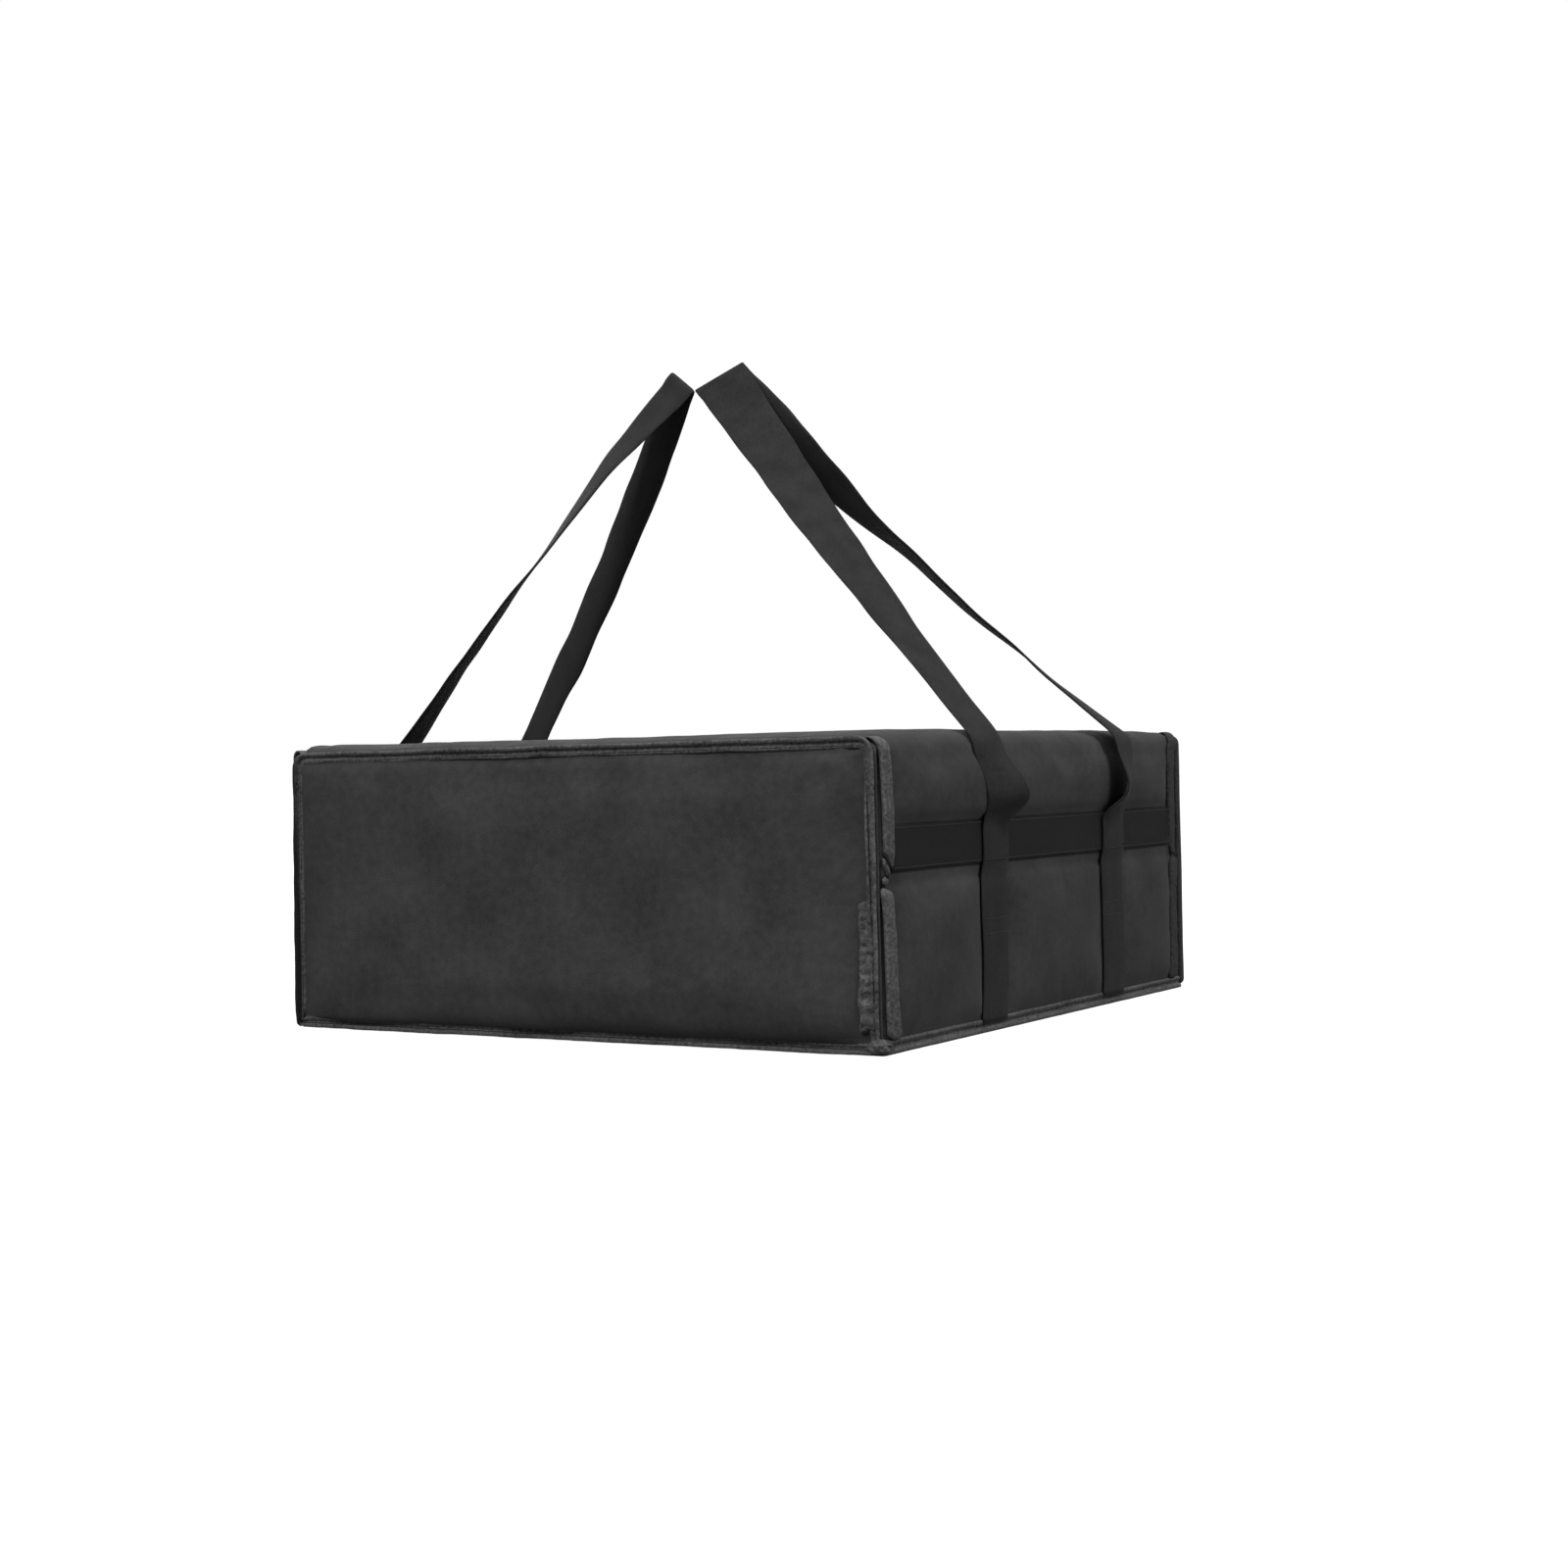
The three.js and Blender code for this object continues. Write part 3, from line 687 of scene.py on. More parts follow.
# A point of the outer fabric and its outward direction: swollen between the seams, dipping
# beside the end seam, fuller towards the left end of the top
def coverPoint(y, run):
    x, z = archPoint(run)
    side = math.copysign(1, x)
    overWall = min(run, archRun - run) - wallRise
    out = Vector((side, 0, 0))
    if overWall > 0:
        arcMiddle = Vector((side * (halfWidth - corners["top"]), 0, topHeight - corners["top"]))
        out = (Vector((x, 0, z)) - arcMiddle).normalized() if overWall < cornerRun else Vector((0, 0, 1))
    groove = wallSwell["groove"] * math.exp(-((y - bodyRear) / wallSwell["grooveWidth"]) ** 4)
    swell = wallBulge(y, z) if overWall < cornerRun else 0
    if 0 < overWall < cornerRun:
        full = corners["mouthFill"] * near(y, mouthPlane, corners["fillReach"])
        if x < 0:
            full += corners["leftFill"] * near(y, bodyRear + corners["leftPlace"], corners["fillReach"])
        swell += full * math.sin(math.pi * overWall / cornerRun)
    if overWall > 0:
        rim = min(y - bodyRear - wallSwell["endRim"], mouthPlane - wallSwell["mouthRim"] - y)
        leftward = max(-x / halfWidth, 0) * near(y, bodyRear, wallSwell["leftReach"])
        rise = risen(overWall, wallSwell["topRise"])
        onTop = wallSwell["top"] + wallSwell["leftTop"] * leftward
        swell += onTop * risen(rim, wallSwell["rimRise"]) * rise
        groove *= 1 - wallSwell["topGrooveLoss"] * rise
    elif abs(z - creaseHeight) < wallLayout["creaseEdge"]:
        swell -= creaseDip(z)
    return Vector((x, y, z)) + out * (swell - groove), out


def makeWrap(looks):
    wrap = {"step": 5 * mm, "pressure": 9, "bending": 6, "fullness": 0.003, "frames": 18, "cap": 2.5 * mm}
    seams = {"rim": 5 * mm, "slip": 0.5 * mm, "underTape": 2 * mm, "foldHold": 0.8}
    pucker = {"footReach": 8 * mm, "endReach": 7 * mm}
    binding = wallLayout["bindingWidth"]
    half = wallLayout["strapHalf"]
    strapEdges = [
        wallLayout[strap] + side * half for strap in ("rearStrap", "frontStrap") for side in (-1, 1)
    ]
    yMarks = [bodyRear + k * mm for k in (0, 2, 3, 4, 5)] + [bodyRear + binding] + strapEdges
    yMarks += [mouthPlane - binding, mouthPlane]
    rises = [seamTop] + [creaseHeight + k * mm for k in (-6, -3, 0, 3)] + [bandLow.z, bandHigh.z]
    wallMarks = [0] + [z - wallFoot for z in rises] + [wallRise, wallRise + cornerRun]
    mirrored = [archRun - run for run in reversed(wallMarks)]

    def place(y, run):
        return coverPoint(y, run)[0]

    mesh = gridSheet(spread(yMarks, wrap["step"]), spread(wallMarks + mirrored, wrap["step"]), place)
    piece = newPiece("wrapFabric", mesh, looks["cover"])

    def sewn(point):
        if not bodyRear + seams["rim"] <= point.y <= mouthPlane - seams["rim"]:
            return 1
        if point.z > topHeight - corners["top"]:
            return 0
        inset = seams["underTape"]
        if not bodyRear + binding - inset <= point.y <= mouthPlane - binding + inset:
            return 1
        if point.z < seamTop + seams["slip"] or bandLow.z - 1 * mm < point.z < bandHigh.z + 1 * mm:
            return 1
        if abs(point.z - creaseHeight) < 1 * mm:
            return seams["foldHold"]
        return 1 if point.z < bandLow.z and onStrap(point.y, seams["slip"]) else 0

    puffSheet(piece, sewn, wrap)

    def wrinkles(point):
        if sewn(point) == 1:
            return 0
        soft = ripple(point, (1 * mm, 75 * mm, 2), (0.4 * mm, 26 * mm, 5))
        alongFoot = ripple((point.y, 0, 0), (0.9 * mm, 7 * mm, 3))
        alongEnd = ripple((0, 0, point.z), (0.6 * mm, 8 * mm, 4))
        endGap = min(point.y - bodyRear - binding, mouthPlane - binding - point.y)
        atFoot = fading(point.z - seamTop, pucker["footReach"])
        return soft + alongFoot * atFoot + alongEnd * fading(endGap, pucker["endReach"])

    raiseBy(piece, wrinkles)
    thicken(piece, fabricThickness)
    settle(piece, "bag", ["wrap_cover"], "cover_fabric")


# Half width of an end panel at a height, with its rounded corners
def halfAt(z, panel):
    cut = 0
    drop = panel["footRadius"] - (z - panel["low"])
    rise = panel["topRadius"] - (panel["high"] - z)
    if drop > 0:
        cut = panel["footRadius"] - math.sqrt(max(panel["footRadius"] ** 2 - drop**2, 0))
    if rise > 0:
        cut = panel["topRadius"] - math.sqrt(max(panel["topRadius"] ** 2 - rise**2, 0))
    return panel["half"] - cut


# Points round the edge of a panel at an inset, as (x, z) and the outward direction there
def ringPath(panel, inset, step):
    turns = [
        (1, "high", "topRadius", 0),
        (-1, "high", "topRadius", 90),
        (-1, "low", "footRadius", 180),
        (1, "low", "footRadius", 270),
    ]
    path = []
    for side, level, kind, start in turns:
        radius = panel[kind]
        x = side * (panel["half"] - radius)
        z = panel[level] + (radius if level == "low" else -radius)
        for k in range(7):
            angle = math.radians(start + 15 * k)
            out = Vector((math.cos(angle), 0, math.sin(angle)))
            path.append((Vector((x, 0, z)) + out * max(radius - inset, 0.3 * mm), out))
    filled = []
    for (point, out), (following, nextOut) in zip(path, path[1:] + path[:1]):
        count = max(1, round((following - point).length / step))
        filled += [(point.lerp(following, k / count), out.lerp(nextOut, k / count).normalized())
                   for k in range(count)]
    return filled


# How far the plain end bellies out, most near its foot and towards the right, and its dip
# under the top seam
endBelly = {
    "rim": 7 * mm,
    "footRim": 6 * mm,
    "footRound": 14 * mm,
    "depth": 6.5 * mm,
    "lowDepth": 5.5 * mm,
    "lean": 3.5 * mm,
    "lowPeak": 22 * mm,
    "steepShare": 0.55,
    "steepReach": 7 * mm,
    "gentleReach": 26 * mm,
    "dip": 0.8 * mm,
    "dipPlace": 8.5 * mm,
    "dipReach": 2 * mm,
}


def endSwell(x, z, panel):
    overFoot = max(z - panel["low"] - endBelly["footRim"], 0)
    rim = min(halfWidth - abs(x), panel["high"] - z) - endBelly["rim"]
    low = (endBelly["lowDepth"] + endBelly["lean"] * x / halfWidth) * hump(overFoot, endBelly["lowPeak"])
    depth = endBelly["depth"] * roundEdge(overFoot, endBelly["footRound"]) + low
    steep = endBelly["steepShare"]
    slope = steep * risen(rim, endBelly["steepReach"]) + (1 - steep) * risen(rim, endBelly["gentleReach"])
    dip = endBelly["dip"] * near(panel["high"] - z, endBelly["dipPlace"], endBelly["dipReach"])
    return depth * slope - dip


def makeEndPanel(looks):
    endLow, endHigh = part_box("end_cover")
    panel = {
        "low": endLow.z,
        "high": endHigh.z,
        "half": halfWidth,
        "topRadius": corners["top"],
        "footRadius": corners["foot"],
    }
    puff = {"step": 5 * mm, "pressure": 5, "bending": 8, "fullness": 0.002, "frames": 18, "cap": 2.5 * mm}
    seam = {"edge": 7.5 * mm, "fold": 8 * mm}
    tuck = {"drop": 13 * mm, "height": 0.9 * mm, "reach": 2.2 * mm}
    fan = {"inset": 14 * mm, "height": 1.9 * mm, "reach": 30 * mm, "rays": 9}
    gather = {"height": 1.9 * mm, "peak": 7 * mm, "middle": -60 * mm, "reach": 110 * mm}
    puckerReach = 9 * mm
    zMarks = [endLow.z + rise * mm for rise in (0, 6, 7, 8.5, 11, 14, 18, 24)]
    zMarks += [endHigh.z - drop * mm for drop in (13, 10.5, 8.5, 7, 0)]
    xMarks = [-halfWidth, -halfWidth + seam["fold"], halfWidth - seam["fold"], halfWidth]

    def place(x, z):
        return Vector((x * halfAt(z, panel) / halfWidth, endLow.y - endSwell(x, z, panel), z))

    mesh = gridSheet(spread(xMarks, puff["step"]), spread(zMarks, puff["step"]), place)
    piece = newPiece("endFabric", mesh, looks["cover"])

    def rimGap(point):
        return min(halfWidth - abs(point.x), point.z - endLow.z, endHigh.z - point.z)

    def sewn(point):
        return 1 if rimGap(point) < seam["edge"] else 0

    puffSheet(piece, sewn, puff)

    # A tucked fold and shallow gathers lie under the top seam, and folds fan out from the upper
    # right corner
    def folds(point):
        if sewn(point) == 1:
            return 0
        soft = ripple(point, (2.2 * mm, 90 * mm, 7), (0.5 * mm, 30 * mm, 8))
        foldLine = endHigh.z - tuck["drop"] + ripple((point.x, 0, 0), (2 * mm, 60 * mm, 9))
        tucked = tuck["height"] * near(point.z, foldLine, tuck["reach"])
        corner = Vector((halfWidth - fan["inset"] - point.x, endHigh.z - fan["inset"] - point.z))
        ray = math.sin(fan["rays"] * math.atan2(corner.y, corner.x))
        fanned = fan["height"] * fading(corner.length, fan["reach"]) * ray
        edgeFade = math.exp(-(rimGap(point) - seam["fold"]) / puckerReach)
        puckered = edgeFade * ripple(point, (0.35 * mm, 7 * mm, 10))
        patches = max(0.35 + ripple((point.x, 0, 0), (1.3, 21 * mm, 14)), 0)
        patches *= near(point.x, gather["middle"], gather["reach"])
        underSeam = max(endHigh.z - seam["fold"] - point.z, 0)
        gathered = gather["height"] * hump(underSeam, gather["peak"]) * patches
        return soft + tucked + fanned + puckered + gathered

    raiseBy(piece, folds)
    thicken(piece, fabricThickness)
    settle(piece, "bag", ["end_cover"], "cover_fabric")
    return panel


# Rounded section of a bound seam, with a valley where the stitches lie
def seamProfile(width, height):
    points = [
        (0.35, 0),
        (-0.9, 1.1),
        (-1.9, 2.3),
        (-1.8, 3.2),
        (-0.8, 3.7),
        (0.3, 3.4),
        (1.1, 2.3),
        (1.5, 0.6),
        (2.9, 0.4),
        (3.7, 1.6),
        (4.8, 2.1),
        (5.9, 1.6),
        (6.5, 0.4),
        (6.7, -0.3),
    ]
    return [(a * width, h * height) for a, h in points]


# Loose lump of tape, squashed to its size and turned, with a map for its finish
def tapeLump(target, middle, size, turn, seed):
    lump = bmesh.new()
    bmesh.ops.create_icosphere(lump, subdivisions=4, radius=1)
    uvLayer = lump.loops.layers.uv.new("cloth")
    for vert in lump.verts:
        rough = 1 + 0.3 * noise.noise(vert.co * 1.8 + Vector((seed, 0, 0)))
        rough += 0.14 * noise.noise(vert.co * 5 + Vector((0, seed, 0)))
        vert.co = Vector((vert.co.x * size[0], vert.co.y * size[1], vert.co.z * size[2])) * rough
    bmesh.ops.rotate(lump, verts=lump.verts, cent=(0, 0, 0), matrix=Matrix.Rotation(turn, 3, "X"))
    bmesh.ops.translate(lump, verts=lump.verts, vec=middle)
    for face in lump.faces:
        for loop in face.loops:
            loop[uvLayer].uv = (loop.vert.co.y + loop.vert.co.x, loop.vert.co.z)
    joinInto(target, lump)


def makeEndBinding(looks, panel):
    ring = {"step": 2.2 * mm, "inset": 2 * mm, "leftSag": 4 * mm, "leftFrom": 0.9, "sagReach": 8 * mm}
    footPinch = {"share": 0.5, "reach": 9 * mm}
    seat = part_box("end_cover")[0].y - 0.1 * mm
    out = Vector((0, -1, 0))
    footCorner = Vector((halfWidth, 0, panel["low"]))
    sections = []
    for point, outward in ringPath(panel, ring["inset"], ring["step"]):
        atLeft = risen(-point.x - halfWidth * ring["leftFrom"], ring["sagReach"])
        leftSag = ring["leftSag"] * (1 - point.z / topHeight) * atLeft
        middle = Vector((point.x - leftSag, seat, point.z))
        wobble = ripple(middle, (0.5 * mm, 34 * mm, 11), (0.2 * mm, 9 * mm, 12))
        footGap = (Vector((abs(point.x), 0, point.z)) - footCorner).length
        girth = 1 + ripple(middle, (0.12, 22 * mm, 13))
        girth *= 1 - footPinch["share"] * near(footGap, 0, footPinch["reach"])
        lift = 1 + ripple(middle, (0.16, 17 * mm, 15), (0.07, 5 * mm, 16))
        sections.append((middle + outward * wobble, -outward * girth, out * lift))
    mesh = sweep(sections, seamProfile(1 * mm, 1 * mm), ring=True)

    # Beside the near upright corner the tape was sewn twice and lies crumpled on the panel
    patch = {
        "from": 15 * mm,
        "to": 97 * mm,
        "inner": halfWidth - 13 * mm,
        "outer": halfWidth - 3 * mm,
        "stand": 2.6 * mm,
        "rim": 0.3 * mm,
        "rimRise": 2 * mm,
        "thickness": 1 * mm,
    }

    def place(x, z):
        edge = min(x - patch["inner"], patch["outer"] - x, z - patch["from"], patch["to"] - z)
        crumple = ripple((x, 0, z), (2.6 * mm, 5 * mm, 17), (2 * mm, 13 * mm, 18))
        inside = risen(edge + patch["rim"], patch["rimRise"])
        depth = (patch["stand"] + crumple) * inside + endSwell(x, z, panel)
        strayX = ripple((0, 0, z), (2.2 * mm, 9 * mm, 19))
        strayZ = ripple((x, 0, 0), (1.5 * mm, 6 * mm, 16))
        return Vector((x + strayX, seat - depth, z + strayZ))

    xStops = spread([patch["inner"], patch["outer"]], 1 * mm)
    scrap = gridSheet(xStops, spread([patch["from"], patch["to"]], 1.2 * mm), place)
    bmesh.ops.solidify(scrap, geom=scrap.faces[:], thickness=-patch["thickness"])
    joinInto(mesh, scrap)
    foot = {
        "middle": Vector((halfWidth - 1 * mm, seat - 1.5 * mm, panel["low"] + 5.6 * mm)),
        "size": (9 * mm, 4.5 * mm, 4.6 * mm),
        "turn": math.radians(18),
    }
    tapeLump(mesh, foot["middle"], foot["size"], foot["turn"], 4)
    # Its finish has painted shade along the left end of the ring
    piece = newPiece("endBinding", mesh, looks["endTapeShadedEdge"])
    settle(piece, "bag", ["end_binding"], "binding_tape")


# Rounded section of a tape that lies flat and swells a little
def tapeProfile(width, thickness):
    shares = [
        (-0.5, 0.3),
        (-0.485, 0.75),
        (-0.42, 0.96),
        (-0.28, 1),
        (-0.1, 1),
        (0.1, 1),
        (0.28, 1),
        (0.42, 0.96),
        (0.485, 0.75),
        (0.5, 0.3),
        (0.47, 0),
        (0.2, 0),
        (-0.2, 0),
        (-0.47, 0),
    ]
    return [(a * width, h * thickness) for a, h in shares]


# One length of upright binding: the lower one has round ends and spreads at its foot, the upper
# one is drawn to a point at its foot and thins out at its top
def uprightLength(side, inward, run, footPoint, seed):
    tape = {
        "width": 12.5 * mm,
        "thickness": 2.8 * mm,
        "step": 1.6 * mm,
        "round": 6 * mm,
        "gap": 4 * mm,
        "least": 0.1,
        "thinEnd": 0.45,
    }
    upper = {"footIn": 5.5 * mm, "topOut": 8 * mm, "topReach": 11 * mm, "thin": 0.25, "thinReach": 7 * mm}
    lower = {
        "slant": 2 * mm,
        "out": 0.8 * mm,
        "topOut": 5 * mm,
        "topReach": 10 * mm,
        "footIn": 2 * mm,
        "girth": 1.1,
        "footGirth": 0.45,
        "footReach": 16 * mm,
    }
    edge = bodyRear if inward > 0 else mouthPlane
    across = Vector((0, inward, 0))
    sections = []
    for along in spread(run, tape["step"]):
        place = along if side > 0 else archRun - along
        x, z = archPoint(place)
        spot = Vector((x, edge, z))
        fromTop, fromFoot = run[1] - along, along - run[0]
        if footPoint:
            share = min(fromFoot / (2 * tape["round"]), 1)
            pointed = 1 - share
            shift = pointed * upper["footIn"] - upper["topOut"] * fading(fromTop, upper["topReach"])
            girth = 1
            lift = upper["thin"] + (1 - upper["thin"]) * risen(fromTop, upper["thinReach"])
        else:
            share = min(roundEdge(fromTop, tape["round"]), roundEdge(fromFoot, tape["round"]))
            atFoot = fading(fromFoot, lower["footReach"])
            shift = lower["slant"] * (1 - along / run[1]) - lower["out"] + lower["footIn"] * atFoot
            shift -= lower["topOut"] * fading(fromTop, lower["topReach"])
            girth = lower["girth"] + lower["footGirth"] * atFoot
            lift = 1
        share = max(share, tape["least"])
        wobble = ripple(spot, (0.6 * mm, 26 * mm, seed), (0.25 * mm, 7 * mm, seed + 3))
        girth *= share * (1 + ripple(spot, (0.07, 10 * mm, seed + 1)))
        lift *= tape["thinEnd"] + (1 - tape["thinEnd"]) * share
        lift *= 1 + ripple(spot, (0.25, 8 * mm, seed + 2))
        y = edge + inward * (tape["gap"] + tape["width"] / 2 + wobble + shift)
        middle, out = coverPoint(y, place)
        sections.append((middle + out * 0.2 * mm, across * girth, out * lift))
    return sweep(sections, tapeProfile(tape["width"], tape["thickness"]))


def makeUprightBindings(looks):
    notch = {"low": creaseHeight - 2 * mm, "high": creaseHeight + 8.5 * mm}
    lower = (seamTop - 1 * mm - wallFoot, notch["low"] - wallFoot)
    upper = (notch["high"] - wallFoot, wallRise + cornerRun * 0.8)
    strays = [
        {"size": (1.5 * mm, 2.2 * mm, 7.5 * mm), "turn": math.radians(32), "in": 7.5 * mm, "over": 11 * mm},
        {"size": (1.4 * mm, 3.2 * mm, 2.4 * mm), "turn": 0, "in": 6 * mm, "over": 2.5 * mm},
    ]
    seed = 20
    for wall, side in walls:
        for place, inward in (("rear", 1), ("front", -1)):
            seed += 5
            edge = bodyRear if inward > 0 else mouthPlane
            mesh = uprightLength(side, inward, lower, False, seed)
            joinInto(mesh, uprightLength(side, inward, upper, True, seed + 2))
            face = side * (halfWidth + 0.6 * mm)
            for k, stray in enumerate(strays):
                spot = Vector((face, edge + inward * stray["in"], creaseHeight + stray["over"]))
                tapeLump(mesh, spot, stray["size"], inward * stray["turn"], seed + k)
            # The front ones take the darker copy of the tape, with painted shade
            look = looks["binding" if inward > 0 else "shadedFrontTape"]
            piece = newPiece(f"{wall}{place.capitalize()}Binding", mesh, look)
            nodes = [f"{wall}_{place}_binding_{part}" for part in ("lower", "upper")]
            settle(piece, "bag", nodes, "binding_tape")


def makeSeamBindings(looks):
    seam = {
        "width": 1.12 * mm,
        "height": 0.85 * mm,
        "step": 3 * mm,
        "over": 1.5 * mm,
        "inset": 0.2 * mm,
        "middle": 2.5 * mm,
        "girth": 0.97,
    }
    for wall, side in walls:
        out = Vector((side, 0, 0))
        up = Vector((0, 0, 1))
        sections = []
        for y in spread([bodyRear - seam["over"], mouthPlane + seam["over"]], seam["step"]):
            middle = Vector((side * (halfWidth - seam["inset"]), y, seam["middle"]))
            lift = 1 + ripple(middle, (0.18, 20 * mm, 61), (0.1, 6 * mm, 62))
            girth = 1 + ripple(middle, (0.05, 40 * mm, 63))
            sections.append((middle, up * girth * seam["girth"], out * lift))
        mesh = sweep(sections, seamProfile(seam["width"], seam["height"]))
        piece = newPiece(f"{wall}SeamBinding", mesh, looks["binding"])
        settle(piece, "bag", [f"{wall}_seam_binding"], "binding_tape")


def makeBands(looks):
    tape = {"thickness": 1.5 * mm, "step": 5 * mm, "over": 2 * mm}
    for wall, side in walls:
        low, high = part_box(f"{wall}_band")
        out = Vector((side, 0, 0))
        across = Vector((0, 0, -1))
        back = min(abs(low.x), abs(high.x))
        sections = []
        for y in spread([low.y - tape["over"], high.y + tape["over"]], tape["step"]):
            drift = ripple((0, y, 0), (0.4 * mm, 80 * mm, 71))
            middle = Vector((side * back, y, (low.z + high.z) / 2 + drift))
            sections.append((middle, across, out))
        mesh = sweep(sections, tapeProfile(high.z - low.z, tape["thickness"]))
        piece = newPiece(f"{wall}Band", mesh, looks["band"])
        settle(piece, "bag", [f"{wall}_band"], "webbing")


# Carry webbing of one side in one length: up the wall, over the fold and the band, slack to
# the hinge line, up to the grip and down again
webbing = {
    "width": 38 * mm,
    "thickness": 1.8 * mm,
    "onWall": 1.3 * mm,
    "onBand": 3.2 * mm,
    "hingeOut": 5.5 * mm,
    "hingeDrop": 2 * mm,
    "slackBulge": 5 * mm,
    "slackReach": 32 * mm,
    "grip": Vector((0.8, -71, 471)) * mm,
    "ridge": Vector((32, 17.5, 20)) * mm,
    "ridgeBend": 11 * mm,
    "seamTuck": 3 * mm,
    "bandGap": 1.5 * mm,
    "foldBulge": 0.9 * mm,
    "foldPlace": 99 * mm,
    "slant": 2.5 * mm,
    "slantReach": 18 * mm,
    "crook": 1.6 * mm,
    "crookPlace": 97 * mm,
    "foldReach": 4 * mm,
    "overCrease": 0.8,
    "freeRise": 60 * mm,
    "step": 4 * mm,
    "smoothing": 3,
}
# Each leg: where it meets the hinge line, how it sags, and at six even shares of its length from
# there to the grip its turn in degrees and its drift in millimetres to the right of the photograph.
# The slack below the hinge line turns too, so one edge of it stands off the wall.
legs = {
    "right": {
        "rear": {
            "root": -100,
            "sag": 3,
            "slack": 25,
            "turn": (-4, 6, 9, 12, 12, 0),
            "drift": (-1, -2.5, -3, -3, -1, 0),
        },
        "front": {
            "root": 111,
            "sag": 12,
            "slack": -24,
            "turn": (6, -1, -20, -44, -34, 0),
            "drift": (7, 8, 8, 7, 5.5, 0),
        },
    },
    "left": {
        "rear": {
            "root": -106,
            "sag": 3,
            "slack": -18,
            "turn": (10, 8, -1, -5, -6, 0),
            "drift": (-9, -12.5, -15, -13.5, -12, 0),
        },
        "front": {
            "root": 66,
            "sag": 12,
            "slack": 12,
            "turn": (-108, -95, -66, -32, -6, 0),
            "drift": (-15, -14.5, -9.7, -6.7, -2.6, 0),
        },
    },
}
driftWay = {1: Vector((0.85, 0.53, 0)), -1: Vector((0.6, 0.92, 0))}


# A smooth curve through evenly spaced values
def smoothly(values, share):
    place = share * (len(values) - 1)
    k = min(int(place), len(values) - 2)
    t = place - k
    before, start, end, after = (values[min(max(k + n, 0), len(values) - 1)] for n in (-1, 0, 1, 2))
    return 0.5 * (
        2 * start
        + (end - before) * t
        + (2 * before - 5 * start + 4 * end - after) * t**2
        + (3 * start - before - 3 * end + after) * t**3
    )


# The middle line and the half widths of a strap, from the foot seam up to the hinge line
def strapRun(side, lowerY, leg):
    hingeZ = topHeight - webbing["hingeDrop"]
    bandFoot, slackFoot = bandLow.z - webbing["bandGap"], bandHigh.z + webbing["bandGap"]
    flat = webbing["width"] / 2
    marks = [seamTop - webbing["seamTuck"], creaseHeight, bandFoot, slackFoot, hingeZ]
    run, widths = [], []
    for z in spread(marks, webbing["step"]):
        share = min(max((z - slackFoot) / (hingeZ - slackFoot), 0), 1)
        if z < bandFoot:
            atFold = near(z, webbing["foldPlace"], webbing["foldReach"])
            offset = webbing["onWall"] + webbing["foldBulge"] * atFold
            offset -= webbing["overCrease"] * creaseDip(z)
        else:
            offset = webbing["onBand"] + (webbing["hingeOut"] - webbing["onBand"]) * share
        bulge = math.sin(math.pi * share**0.55) ** 1.4
        turn = math.radians(leg["slack"] * bulge - side * leg["turn"][0] * share**5)
        stand = flat * abs(math.sin(turn))
        ease = share * share * (3 - 2 * share)
        slant = webbing["slant"] * math.exp(-(z - seamTop) / webbing["slantReach"])
        crook = wave((side, lowerY, z), 20 * mm, 84) - near(z, webbing["crookPlace"], webbing["foldReach"])
        crook *= webbing["crook"]
        y = lowerY + (leg["root"] * mm - lowerY) * ease - slant + crook * (1 - share)
        drift = driftWay[side] * leg["drift"][0] * mm * ease
        offset += webbing["slackBulge"] * bulge + stand * (1 - share**3) + side * drift.x
        reach = halfWidth + min(offset, webbing["slackReach"] - stand)
        run.append(Vector((side * reach, y + drift.y, z)))
        widths.append(Vector((side * math.sin(turn), math.cos(turn), 0)) * flat)
    return run, widths


# The same of a free leg, from the hinge line to the ridge at the grip
def legRun(side, root, rootAcross, ridge, ridgeAcross, leg):
    length = (ridge - root).length
    lastShare = 1 - webbing["ridgeBend"] / length
    count = round(length / webbing["step"])
    sag = leg["sag"] * mm
    run, widths = [], []
    for k in range(1, count + 1):
        share = k / count * lastShare
        point = root.lerp(ridge, share)
        ahead = root.lerp(ridge, share + 0.01)
        ahead.z -= 4 * sag * (share + 0.01) * (0.99 - share)
        point.z -= 4 * sag * share * (1 - share)
        size = rootAcross.length + (ridgeAcross.length - rootAcross.length) * share
        turn = Matrix.Rotation(math.radians(smoothly(leg["turn"], share)), 3, ahead - point)
        run.append(point + driftWay[side] * smoothly(leg["drift"], share) * mm)
        widths.append(turn @ rootAcross.lerp(ridgeAcross, share).normalized() * size)
    return run, widths


def bezier(start, pull, end, share):
    return start * (1 - share) ** 2 + pull * (2 * share * (1 - share)) + end * share**2


# Evens out values along a line, apart from its ends and the held ones
def smoothed(values, held):
    last = len(values) - 1
    return [
        value if k in held or k in (0, last) else (values[k - 1] + value * 2 + values[k + 1]) / 4
        for k, value in enumerate(values)
    ]


